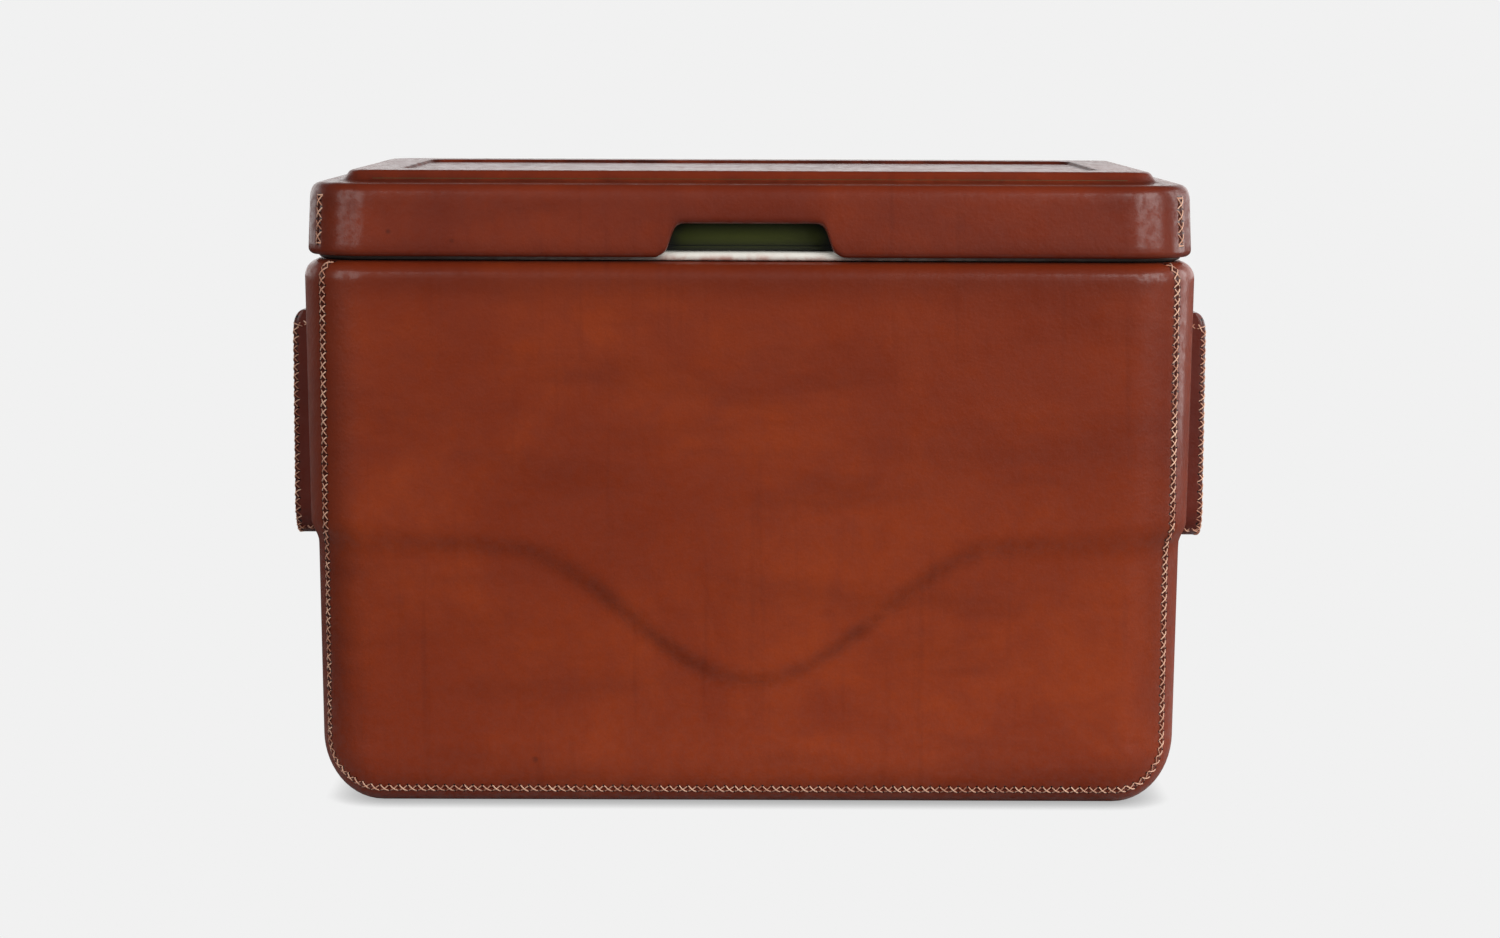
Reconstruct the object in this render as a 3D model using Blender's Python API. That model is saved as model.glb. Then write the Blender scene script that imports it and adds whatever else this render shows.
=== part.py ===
"""Hard chest cooler in a hand-stitched leather cover, with a hinged lid and two swing handles.

Metres, +Z up. The front faces -Y and +X is to the right of someone who looks at the front.
The origin is on the floor, under the middle of the cooler.
"""

import math

import bmesh
import bpy
from mathutils import Vector

for leftover in list(bpy.data.objects):
    bpy.data.objects.remove(leftover, do_unlink=True)

# Gaps and tool overruns that every piece shares
CLEARANCE = 0.0003
CUTTER_OVERRUN = 0.010

# Body outside the leather: width and depth are at the floor, and the walls lean out
BODY_WIDTH = 0.4966
BODY_DEPTH = 0.2848
BODY_HEIGHT = 0.3155
WALL_DRAFT_SHARE = 0.013
PLAN_RADIUS = 0.036
SIDE_FOOT_RADIUS = 0.036
FRONT_FOOT_RADIUS = 0.022
FOOT_PLAN_RADIUS = 0.016
SHOULDER_RADIUS = 0.010

# Step that runs round the body, and its dip on the front
STEP_HEIGHT = 0.156
STEP_SPREAD = 0.006
STEP_RISE = 0.0037
WAVE_DEPTH = 0.081
WAVE_SIDE_DISTANCE = 0.0923
WAVE_COLUMN_SHARES = (-1, -0.82, -0.66, -0.5, -0.34, -0.18, 0, 0.18, 0.34, 0.5, 0.66, 0.82, 1)
STEP_ROW_SHARES = ((-1, 0), (-0.35, 0.26), (0.35, 0.74), (1, 1))

# Thicknesses of the wall's layers, from the outside in
LEATHER = 0.0030
SHELL_WALL = 0.0025
LINER_WALL = 0.0020

FOAM_WALL = 0.0225
FOAM_FLOOR = 0.0220

# Leather seam of the front and back panels, in from the body's sides and up from its floor
SEAM_INSET = 0.0051
SEAM_LIFT = 0.0070

# Inside of the tub, and the rim flange that rests round its mouth
CAVITY_DRAFT_SHARE = 0.018
CAVITY_PLAN_RADIUS = 0.024
CAVITY_FOOT_RADIUS = 0.014
CAVITY_FOOT_PLAN_RADIUS = 0.014
RIM_HEIGHT = 0.0050
RIM_SIDE_GAP = 0.0006
RIM_OVERLAP = 0.0035
RIM_EDGE_RADIUS = 0.0010

# Lid outside the leather
LID_SIDE_INSET = 0.0021
LID_FRONT_INSET = 0.0004
LID_GAP = 0.0040
LID_SKIRT = 0.0405
LID_FLARE_SHARE = 0.036
LID_SHOULDER_RADIUS = 0.0070
LID_EDGE_RADIUS = 0.0020
LID_BAND_RISE = 0.0012
PANEL_INSET = 0.0185
PANEL_STEP = 0.0052
PANEL_SLOPE = 0.0045
PANEL_EDGE_SHARE = 0.25
PANEL_RADIUS = 0.018
BORDER_WIDTH = 0.0270
RECESS_DROP = 0.0018
RECESS_SLOPE = 0.0030
RECESS_RADIUS = 0.012
PLUG_GAP = 0.0030
PLUG_DEPTH = 0.0085
PLUG_EDGE_RADIUS = 0.0020

# Finger recess in the middle of the lid's front
NOTCH_TOP_WIDTH = 0.0840
NOTCH_MOUTH_WIDTH = 0.0950
NOTCH_FLARE = 0.0055
NOTCH_HEIGHT = 0.0177
NOTCH_TOP_RADIUS = 0.0040
NOTCH_FLARE_RADIUS = 0.0050
POCKET_DEPTH = 0.0240
POCKET_MARGIN = 0.0015
POCKET_WALL_LIFT = 0.0030
POCKET_SETBACK = 0.0060

# Swing handles: a bail that hangs from a rod, in a leather wrap
HANDLE_SPAN = 0.1300
HANDLE_WIDTH = 0.0140
HANDLE_OUTER = 0.0065
HANDLE_INNER = 0.0060
HANDLE_EDGE_RADIUS = 0.0030
HANDLE_BEND_RADIUS = 0.0130
HANDLE_DROP = 0.1275
HANDLE_WRAP = 0.0020
HANDLE_PIVOT_DROP = 0.0410
HANDLE_STANDOFF = 0.0021
HANDLE_SWING_GAP = 0.0006
HANDLE_END_LONG = 0.0100
HANDLE_END_SHARES = (0, 0.5, 0.85, 0.99)
HANDLE_EDGE_LIMIT_SHARE = 0.45
ROD_RADIUS = 0.0020
ROD_END_COVER = 0.0040
BRACKET_SIDE_GAP = 0.0005
BRACKET_REACH = 0.0050
BRACKET_TOP = 0.0060
BRACKET_BOTTOM = 0.0130
BRACKET_EDGE_RADIUS = 0.0040
BRACKET_SCREW_SPACING = 0.0600
BRACKET_SCREW_DROP = 0.0070

# Hinges at the back
HINGE_SIDE_DISTANCE = 0.0983
HINGE_WIDTH = 0.0420
HINGE_LEAF = 0.0016
HINGE_LEAF_HEIGHT = 0.0270
HINGE_KNUCKLE_RADIUS = 0.0032
HINGE_KNUCKLE_SHARES = (0, 0.31, 0.69, 1)
HINGE_KNUCKLE_ROOM_SHARE = 1.15
HINGE_PIN_RADIUS = 0.0015
HINGE_SCREW_SPACING = 0.0260
HINGE_SCREW_INSET = 0.0085

# Screws
SCREW_RADIUS = 0.0018
SCREW_HEAD_RADIUS = 0.0036
SCREW_HEAD_HEIGHT = 0.0014
SCREW_DOME_SHARES = ((1, 0), (0.86, 0.7), (0.4, 1))

# Fineness of round shapes
CORNER_STEPS = 5
FOOT_ANGLES = (0, 22.5, 45, 67.5, 90)
SHOULDER_ANGLES = (0, 30, 60, 90)
ROUND_SIDES = 16
SCREW_SIDES = 10

# Insets and levels that follow from the sizes above
WAVE_HALF_WIDTH = BODY_WIDTH / 2 - WAVE_SIDE_DISTANCE
SHELL_INSET = LEATHER + CLEARANCE
SHELL_INSIDE = SHELL_INSET + SHELL_WALL
FOAM_INSET = SHELL_INSIDE + CLEARANCE
LID_TURN_IN = SHELL_INSIDE - CLEARANCE
RIM_INSET = max(LID_SIDE_INSET, LID_FRONT_INSET) + LID_TURN_IN + RIM_SIDE_GAP
LEATHER_TUCK = RIM_INSET + RIM_OVERLAP
RIM_UNDERSIDE = BODY_HEIGHT + CLEARANCE
RIM_TOP = RIM_UNDERSIDE + RIM_HEIGHT
LID_BOTTOM = BODY_HEIGHT + LID_GAP
LID_SHOULDER = LID_BOTTOM + LID_SKIRT
LID_TOP = LID_SHOULDER + LID_BAND_RISE + PANEL_STEP
CAVITY_FLOOR = SHELL_INSIDE + FOAM_FLOOR + LINER_WALL
HINGE_AXIS_HEIGHT = BODY_HEIGHT + LID_GAP / 2
HANDLE_PIVOT_HEIGHT = BODY_HEIGHT - HANDLE_PIVOT_DROP
HANDLE_BOTTOM = HANDLE_PIVOT_HEIGHT - HANDLE_DROP
HANDLE_END = HANDLE_INNER + HANDLE_STANDOFF - HANDLE_SWING_GAP


def material(name, colour, roughness, metallic=0.0):
    made = bpy.data.materials.new(name)
    made.use_nodes = True
    shader = made.node_tree.nodes["Principled BSDF"]
    shader.inputs["Base Color"].default_value = (*colour, 1.0)
    shader.inputs["Roughness"].default_value = roughness
    shader.inputs["Metallic"].default_value = metallic
    return made


COVER_LEATHER = material("cover_leather", (0.22, 0.036, 0.012), 0.42)
OLIVE_PLASTIC = material("olive_plastic", (0.045, 0.047, 0.012), 0.45)
WHITE_PLASTIC = material("white_plastic", (0.75, 0.72, 0.67), 0.35)
FOAM = material("insulating_foam", (0.80, 0.72, 0.45), 0.90)
BRASS = material("brass", (0.60, 0.42, 0.17), 0.30, 1.0)
STEEL = material("steel", (0.55, 0.55, 0.56), 0.30, 1.0)


def finish(bm, name, paint):
    """Turns a bmesh into an object whose faces point outwards."""
    bmesh.ops.recalc_face_normals(bm, faces=bm.faces)
    mesh = bpy.data.meshes.new(name)
    bm.to_mesh(mesh)
    bm.free()
    mesh.shade_smooth()
    mesh.set_sharp_from_angle(angle=math.radians(40))
    mesh.materials.append(paint)
    made = bpy.data.objects.new(name, mesh)
    bpy.context.scene.collection.objects.link(made)
    return made


def loft(name, rings, paint):
    """A closed solid through a row of rings with equal numbers of points, capped at both ends."""
    bm = bmesh.new()
    rows = [[bm.verts.new(point) for point in ring] for ring in rings]
    count = len(rows[0])
    for lower, upper in zip(rows, rows[1:]):
        for i in range(count):
            j = (i + 1) % count
            bm.faces.new((lower[i], lower[j], upper[j], upper[i]))
    bm.faces.new(rows[0])
    bm.faces.new(rows[-1])
    return finish(bm, name, paint)


def rounded_outline(corners, steps=CORNER_STEPS):
    """Points of a polygon given as (across, up, radius), with each corner rounded by its radius."""
    points = []
    for i, (across, up, radius) in enumerate(corners):
        here = Vector((across, up))
        before = Vector(corners[i - 1][:2]) - here
        after = Vector(corners[(i + 1) % len(corners)][:2]) - here
        if radius == 0:
            points.append(here)
            continue
        half = before.angle(after) / 2
        towards_middle = (before.normalized() + after.normalized()).normalized()
        middle = here + towards_middle * radius / math.sin(half)
        start = here + before.normalized() * radius / math.tan(half) - middle
        end = here + after.normalized() * radius / math.tan(half) - middle
        sweep = start.angle_signed(end)
        for step in range(steps + 1):
            turn = -sweep * step / steps
            turned = (
                start.x * math.cos(turn) - start.y * math.sin(turn),
                start.x * math.sin(turn) + start.y * math.cos(turn),
            )
            points.append(middle + Vector(turned))
    return points


def prism(name, outline, low, high, paint, axis="Y"):
    """An outline extruded along Y (drawn in X and Z) or along X (drawn in Y and Z)."""
    bm = bmesh.new()
    ends = []
    for depth in (low, high):
        if axis == "Y":
            row = [bm.verts.new((p.x, depth, p.y)) for p in outline]
        else:
            row = [bm.verts.new((depth, p.x, p.y)) for p in outline]
        ends.append(row)
    for i in range(len(outline)):
        j = (i + 1) % len(outline)
        bm.faces.new((ends[0][i], ends[0][j], ends[1][j], ends[1][i]))
    bm.faces.new(ends[0])
    bm.faces.new(ends[1])
    return finish(bm, name, paint)


def turned(name, profile, sides, paint):
    """A solid turned about Z from (radius, height) points, bottom to top, with flat ends."""
    rings = [
        [
            (radius * math.cos(turn), radius * math.sin(turn), height)
            for turn in (math.tau * i / sides for i in range(sides))
        ]
        for radius, height in profile
    ]
    return loft(name, rings, paint)


def hide_helper(helper):
    helper.hide_render = True
    helper.display_type = "WIRE"
    return helper


def combine(solid, other, operation="DIFFERENCE"):
    """Cuts a helper from a solid, joins it on, or keeps what both hold."""
    hide_helper(other)
    boolean = solid.modifiers.new(operation.lower() + "_" + other.name, "BOOLEAN")
    boolean.operation = operation
    boolean.solver = "EXACT"
    boolean.object = other


def place(item, location, rotation=(0, 0, 0)):
    item.location = location
    item.rotation_euler = rotation
    return item


def pivot(name, location):
    """An empty on a joint's axis."""
    made = bpy.data.objects.new(name, None)
    bpy.context.scene.collection.objects.link(made)
    made.location = location
    bpy.context.view_layer.update()
    return made


def hang_on(parent, *pieces):
    for piece in pieces:
        piece.parent = parent
        piece.matrix_parent_inverse = parent.matrix_world.inverted()


# Rings of the body and the tub


def level_ring(half_x, half_y, radius, level):
    """A level rounded rectangle, from the front right corner round by the back to the front left."""
    points = []
    for corner, (side_x, side_y) in enumerate(((1, -1), (1, 1), (-1, 1), (-1, -1))):
        for step in range(CORNER_STEPS + 1):
            angle = math.radians(90) * (corner - 1 + step / CORNER_STEPS)
            across = side_x * (half_x - radius) + radius * math.cos(angle)
            along = side_y * (half_y - radius) + radius * math.sin(angle)
            points.append((across, along, level))
    return points


def wave_drop(across):
    """How far the step dips below its height on the sides, at a place on the front."""
    share = min(abs(across) / WAVE_HALF_WIDTH, 1)
    return WAVE_DEPTH * (1 + math.cos(math.pi * share)) / 2


def body_half_sizes(level, proud_share):
    grown = WALL_DRAFT_SHARE * level + STEP_RISE * proud_share
    return BODY_WIDTH / 2 + grown, BODY_DEPTH / 2 + grown


def body_ring(inset, level, proud_share, tuck_x=0, tuck_y=0, tuck_radius=0, waved=False):
    """A ring of the body at an inset from the leather's outside, with the wave's columns in front."""
    half_x, half_y = body_half_sizes(level, proud_share)
    half_x -= inset + tuck_x
    half_y -= inset + tuck_y
    points = level_ring(half_x, half_y, PLAN_RADIUS - inset - tuck_radius, level)
    for share in WAVE_COLUMN_SHARES:
        across = share * WAVE_HALF_WIDTH
        drop = wave_drop(across) if waved else 0
        points.append((across, WALL_DRAFT_SHARE * drop - half_y, level - drop))
    return points


def body_rings(inset):
    """Rings of the body's outside at an inset, from the floor up over the shoulder."""
    rings = []
    side_radius = SIDE_FOOT_RADIUS - inset
    front_radius = FRONT_FOOT_RADIUS - inset
    for degrees in FOOT_ANGLES:
        rise = 1 - math.cos(math.radians(degrees))
        tuck = 1 - math.sin(math.radians(degrees))
        level = inset + side_radius * rise
        below = min(max(FRONT_FOOT_RADIUS - level, 0), front_radius)
        tuck_y = front_radius - math.sqrt(front_radius**2 - below**2)
        tuck_radius = (PLAN_RADIUS - FOOT_PLAN_RADIUS) * tuck
        rings.append(body_ring(inset, level, 0, side_radius * tuck, tuck_y, tuck_radius))
    for height_share, proud_share in STEP_ROW_SHARES:
        level = STEP_HEIGHT + STEP_SPREAD * height_share
        rings.append(body_ring(inset, level, proud_share, waved=True))
    shoulder = SHOULDER_RADIUS - inset
    for degrees in SHOULDER_ANGLES:
        drop = shoulder * (1 - math.sin(math.radians(degrees)))
        tuck = shoulder * (1 - math.cos(math.radians(degrees)))
        level = BODY_HEIGHT - inset - drop
        rings.append(body_ring(inset, level, 1, tuck, tuck, tuck))
    return rings


def wrapped_wall(name, outer_inset, wall, paint):
    """An open tub that follows the body, whose top edge turns in as far as the leather's."""
    rings = body_rings(outer_inset)
    rings.append(body_ring(LEATHER_TUCK, BODY_HEIGHT - outer_inset, 1))
    rings.append(body_ring(LEATHER_TUCK, BODY_HEIGHT - outer_inset - wall, 1))
    rings.extend(reversed(body_rings(outer_inset + wall)))
    return loft(name, rings, paint)


def mouth_half_sizes():
    """Half the width and depth of the tub's mouth, inside its wall."""
    layers = SHELL_INSIDE + FOAM_WALL + LINER_WALL
    half_x, half_y = body_half_sizes(BODY_HEIGHT, 1)
    return half_x - layers, half_y - layers


def cavity_rings(grown):
    """Rings of the tub's inside, grown outwards, from its floor to its mouth."""
    rings = []
    mouth_x, mouth_y = mouth_half_sizes()
    foot = CAVITY_FOOT_RADIUS + grown
    levels = []
    for degrees in SHOULDER_ANGLES:
        rise = 1 - math.cos(math.radians(degrees))
        tuck = 1 - math.sin(math.radians(degrees))
        levels.append((CAVITY_FLOOR - grown + foot * rise, foot * tuck, tuck))
    levels.append((RIM_UNDERSIDE - CLEARANCE, 0, 0))
    for level, tuck, radius_share in levels:
        narrowed = CAVITY_DRAFT_SHARE * (RIM_TOP - level)
        half_x = mouth_x - narrowed + grown - tuck
        half_y = mouth_y - narrowed + grown - tuck
        radius = CAVITY_PLAN_RADIUS + grown
        radius -= (CAVITY_PLAN_RADIUS - CAVITY_FOOT_PLAN_RADIUS + grown) * radius_share
        rings.append(level_ring(half_x, half_y, radius, level))
    return rings


def mouth_ring(grown, level):
    """A ring at the tub's mouth, grown outwards."""
    half_x, half_y = mouth_half_sizes()
    return level_ring(half_x + grown, half_y + grown, CAVITY_PLAN_RADIUS + grown, level)


def rim_ring(inset, level):
    """A ring of the rim flange, at an inset from the body's outside."""
    half_x, half_y = body_half_sizes(BODY_HEIGHT, 1)
    return level_ring(half_x - inset, half_y - inset, PLAN_RADIUS - inset, level)


# Body: leather, shell, foam and tub

leather_tub = wrapped_wall("leather_tub", 0, LEATHER, COVER_LEATHER)


def seam_prism(name, grown, low, high):
    """What lies inside the seam seen from the front, grown outwards."""
    half = BODY_WIDTH / 2 - SEAM_INSET + grown
    bottom = SEAM_LIFT - grown
    top = BODY_HEIGHT + CUTTER_OVERRUN
    radius = SIDE_FOOT_RADIUS - SEAM_INSET + grown
    corners = ((-half, bottom, radius), (half, bottom, radius), (half, top, 0), (-half, top, 0))
    return prism(name, rounded_outline(corners), low, high, COVER_LEATHER)


body_reach = BODY_DEPTH / 2 + STEP_RISE + CUTTER_OVERRUN
front_leather_panel = leather_tub
front_leather_panel.name = "front_leather_panel"
back_leather_panel = leather_tub.copy()
back_leather_panel.name = "back_leather_panel"
side_bottom_leather_band = leather_tub.copy()
side_bottom_leather_band.name = "side_bottom_leather_band"
for copied in (back_leather_panel, side_bottom_leather_band):
    copied.data = leather_tub.data.copy()
    bpy.context.scene.collection.objects.link(copied)

combine(front_leather_panel, seam_prism("front_seam_cutter", 0, -body_reach, 0), "INTERSECT")
combine(back_leather_panel, seam_prism("back_seam_cutter", 0, 0, body_reach), "INTERSECT")
combine(side_bottom_leather_band, seam_prism("band_cutter", CLEARANCE, -body_reach, body_reach))

body_shell = wrapped_wall("body_shell", SHELL_INSET, SHELL_WALL, OLIVE_PLASTIC)


def with_front_columns(ring):
    """Adds the body's front columns to a level ring, so that it has as many points."""
    half_y = max(-point[1] for point in ring)
    level = ring[0][2]
    columns = [(share * WAVE_HALF_WIDTH, -half_y, level) for share in WAVE_COLUMN_SHARES]
    return list(ring) + columns


foam_top = RIM_TOP - LINER_WALL - CLEARANCE
foam_rings = body_rings(FOAM_INSET)
foam_rings.append(body_ring(LEATHER_TUCK + CLEARANCE, BODY_HEIGHT - FOAM_INSET, 1))
foam_rings.append(body_ring(LEATHER_TUCK + CLEARANCE, foam_top, 1))
foam_rings.append(with_front_columns(mouth_ring(LINER_WALL + CLEARANCE, foam_top)))
foam_rings.extend(with_front_columns(r) for r in reversed(cavity_rings(LINER_WALL + CLEARANCE)))
body_foam = loft("body_foam", foam_rings, FOAM)

rim_lip = RIM_INSET + LINER_WALL
liner_rings = cavity_rings(0)
liner_rings.append(mouth_ring(0, RIM_TOP - RIM_EDGE_RADIUS))
liner_rings.append(mouth_ring(RIM_EDGE_RADIUS, RIM_TOP))
liner_rings.append(rim_ring(RIM_INSET + RIM_EDGE_RADIUS, RIM_TOP))
liner_rings.append(rim_ring(RIM_INSET, RIM_TOP - RIM_EDGE_RADIUS))
liner_rings.append(rim_ring(RIM_INSET, RIM_UNDERSIDE))
liner_rings.append(rim_ring(rim_lip, RIM_UNDERSIDE))
liner_rings.append(rim_ring(rim_lip, RIM_TOP - LINER_WALL))
liner_rings.append(mouth_ring(LINER_WALL, RIM_TOP - LINER_WALL))
liner_rings.extend(reversed(cavity_rings(LINER_WALL)))
body_liner = loft("body_liner", liner_rings, WHITE_PLASTIC)

# Lid: leather cover, shell, foam and liner


rim_half_x, rim_half_y = body_half_sizes(BODY_HEIGHT, 1)
LID_HALF_WIDTH = rim_half_x - LID_SIDE_INSET
LID_HALF_DEPTH = rim_half_y - LID_FRONT_INSET


def lid_ring(inset, level, radius=None):
    """A ring of the lid at an inset from its outside, whose skirt flares towards its foot."""
    narrowed = LID_FLARE_SHARE * max(min(level, LID_SHOULDER) - LID_BOTTOM, 0)
    half_x = LID_HALF_WIDTH - narrowed - inset
    half_y = LID_HALF_DEPTH - narrowed - inset
    return level_ring(half_x, half_y, radius or PLAN_RADIUS - inset, level)


def lid_cap_rings(inset):
    """Rings of the lid's outside at an inset, from the middle of the top out and down to the skirt."""
    recess = PANEL_INSET + PANEL_SLOPE + BORDER_WIDTH
    edge_in = PANEL_INSET + PANEL_SLOPE * PANEL_EDGE_SHARE
    edge_level = LID_TOP - PANEL_STEP * PANEL_EDGE_SHARE
    rings = [
        lid_ring(recess + RECESS_SLOPE, LID_TOP - RECESS_DROP - inset, RECESS_RADIUS),
        lid_ring(recess, LID_TOP - inset, RECESS_RADIUS + RECESS_SLOPE),
        lid_ring(PANEL_INSET + PANEL_SLOPE, LID_TOP - inset, PANEL_RADIUS - PANEL_SLOPE),
        lid_ring(edge_in, edge_level - inset, PANEL_RADIUS),
        lid_ring(PANEL_INSET, LID_SHOULDER + LID_BAND_RISE - inset, PANEL_RADIUS),
    ]
    shoulder = LID_SHOULDER_RADIUS - inset
    for degrees in reversed(SHOULDER_ANGLES):
        drop = shoulder * (1 - math.sin(math.radians(degrees)))
        tuck = shoulder * (1 - math.cos(math.radians(degrees)))
        rings.append(lid_ring(inset + tuck, LID_SHOULDER - inset - drop))
    return rings


lid_edge_half = LID_EDGE_RADIUS * (1 - math.sin(math.radians(45)))
lid_turn_top = LID_BOTTOM + LID_EDGE_RADIUS
lid_shell_bottom = lid_turn_top + CLEARANCE
leather_rings = lid_cap_rings(0)
leather_rings.append(lid_ring(0, LID_BOTTOM + LID_EDGE_RADIUS))
leather_rings.append(lid_ring(lid_edge_half, LID_BOTTOM + lid_edge_half))
leather_rings.append(lid_ring(LID_EDGE_RADIUS, LID_BOTTOM))
leather_rings.append(lid_ring(LID_TURN_IN, LID_BOTTOM))
leather_rings.append(lid_ring(LID_TURN_IN, lid_turn_top))
leather_rings.append(lid_ring(LEATHER, lid_turn_top))
leather_rings.extend(reversed(lid_cap_rings(LEATHER)))
lid_leather = loft("lid_leather", leather_rings, COVER_LEATHER)

shell_rings = lid_cap_rings(SHELL_INSET)
shell_rings.append(lid_ring(SHELL_INSET, lid_shell_bottom))
shell_rings.append(lid_ring(SHELL_INSIDE, lid_shell_bottom))
shell_rings.extend(reversed(lid_cap_rings(SHELL_INSIDE)))
lid_shell = loft("lid_shell", shell_rings, OLIVE_PLASTIC)

plug_top = RIM_TOP + CLEARANCE
plug_bottom = plug_top - PLUG_DEPTH


def plug_rings(grown, lift):
    """Rings from the plug's rounded foot up to the plate that the lid's foam rests on."""
    side = -PLUG_GAP - grown
    return [
        mouth_ring(side - PLUG_EDGE_RADIUS, plug_bottom + lift),
        mouth_ring(side, plug_bottom + lift + PLUG_EDGE_RADIUS),
        mouth_ring(side, plug_top + lift),
    ]


lid_liner_rings = plug_rings(0, 0)
lid_liner_rings.append(lid_ring(FOAM_INSET, plug_top))
lid_liner_rings.append(lid_ring(FOAM_INSET, plug_top + LINER_WALL))
lid_liner_rings.extend(reversed(plug_rings(LINER_WALL, LINER_WALL)))
lid_liner = loft("lid_liner", lid_liner_rings, WHITE_PLASTIC)

lift = LINER_WALL + CLEARANCE
lid_foam_rings = plug_rings(lift, lift)
lid_foam_rings.append(lid_ring(FOAM_INSET, plug_top + lift))
lid_foam_rings.extend(reversed(lid_cap_rings(FOAM_INSET)))
lid_foam = loft("lid_foam", lid_foam_rings, FOAM)

# Finger recess: a notch in the leather and a walled pocket in the shell


def notch_outline(grown, bottom):
    """The recess seen from the front, grown outwards, down to a level below the lid."""
    top_half = NOTCH_TOP_WIDTH / 2 + grown
    mouth_half = NOTCH_MOUTH_WIDTH / 2 + grown
    flare_half = mouth_half + NOTCH_FLARE
    top = LID_BOTTOM + NOTCH_HEIGHT + grown
    flare_top = LID_BOTTOM + NOTCH_FLARE / 2
    right = [
        (flare_half, bottom, 0),
        (flare_half, LID_BOTTOM, 0),
        (mouth_half, flare_top, NOTCH_FLARE_RADIUS),
        (top_half, top, NOTCH_TOP_RADIUS),
    ]
    left = [(-across, up, radius) for across, up, radius in reversed(right)]
    return rounded_outline(right + left, 3)


front_face = -LID_HALF_DEPTH
below_lid = LID_BOTTOM - CUTTER_OVERRUN
outside_front = front_face - CUTTER_OVERRUN
pocket_back = front_face + POCKET_DEPTH
combine(
    lid_leather,
    prism("notch_cutter", notch_outline(0, below_lid), outside_front,
          front_face + SHELL_INSET + CUTTER_OVERRUN, COVER_LEATHER),
)


def pocket_block(name, grown, back, bottom, paint):
    """A block round the pocket, that starts in the middle of the shell's front wall."""
    half = NOTCH_MOUTH_WIDTH / 2 + NOTCH_FLARE + POCKET_MARGIN + grown
    top = LID_BOTTOM + NOTCH_HEIGHT + POCKET_MARGIN + grown
    front = front_face + SHELL_INSET + SHELL_WALL / 2
    corners = ((-half, bottom, 0), (half, bottom, 0), (half, top, 0), (-half, top, 0))
    return prism(name, rounded_outline(corners), front, back, paint)


pocket_wall_bottom = LID_BOTTOM + POCKET_WALL_LIFT
combine(
    lid_shell,
    pocket_block("pocket_wall", SHELL_WALL, pocket_back + SHELL_WALL, pocket_wall_bottom,
                 OLIVE_PLASTIC),
    "UNION",
)
combine(
    lid_shell,
    prism("pocket_cutter", notch_outline(POCKET_MARGIN, below_lid), outside_front, pocket_back,
          OLIVE_PLASTIC),
)
foam_back = pocket_back + SHELL_WALL + CLEARANCE
combine(
    lid_foam,
    pocket_block("foam_pocket_cutter", SHELL_WALL + CLEARANCE, foam_back, below_lid, FOAM),
)
combine(
    lid_liner,
    pocket_block("liner_pocket_cutter", SHELL_WALL + CLEARANCE, foam_back + POCKET_SETBACK,
                 below_lid, WHITE_PLASTIC),
)

# Screws: each has a domed head, and its holes go through all that it clamps


def screw(name, length, paint):
    """A screw along Z whose head sits on the plane of its origin and whose shank points down."""
    profile = [
        (SCREW_RADIUS / 2, -length),
        (SCREW_RADIUS, -length + SCREW_RADIUS),
        (SCREW_RADIUS, CLEARANCE),
    ]
    for radius_share, height_share in SCREW_DOME_SHARES:
        height = CLEARANCE + SCREW_HEAD_HEIGHT * height_share
        profile.append((SCREW_HEAD_RADIUS * radius_share, height))
    return turned(name, profile, SCREW_SIDES, paint)


def hole_cutter(name, length):
    """A screw's hole along Z, from well above its origin to a depth below it."""
    radius = SCREW_RADIUS + CLEARANCE
    profile = [(radius, -length), (radius, CUTTER_OVERRUN)]
    return turned(name, profile, SCREW_SIDES, STEEL)


# Hinges: two leaves and a pin each, screwed through the leather into the shells

body_back = body_half_sizes(BODY_HEIGHT - SHOULDER_RADIUS, 1)[1]
hinge_axis_y = max(body_back, LID_HALF_DEPTH) + CLEARANCE + HINGE_KNUCKLE_RADIUS
lid_pivot = pivot("lid_pivot", (0, hinge_axis_y, HINGE_AXIS_HEIGHT))
lid_pieces = [lid_leather, lid_shell, lid_foam, lid_liner]
along_x = (0, math.radians(90), 0)
facing_back = (math.radians(-90), 0, 0)


def knuckle(name, centre, low_share, high_share, paint):
    start = centre + HINGE_WIDTH * (low_share - 0.5)
    length = HINGE_WIDTH * (high_share - low_share)
    profile = [(HINGE_KNUCKLE_RADIUS, 0), (HINGE_KNUCKLE_RADIUS, length)]
    barrel = turned(name, profile, ROUND_SIDES, paint)
    return place(barrel, (start, hinge_axis_y, HINGE_AXIS_HEIGHT), along_x)


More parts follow.
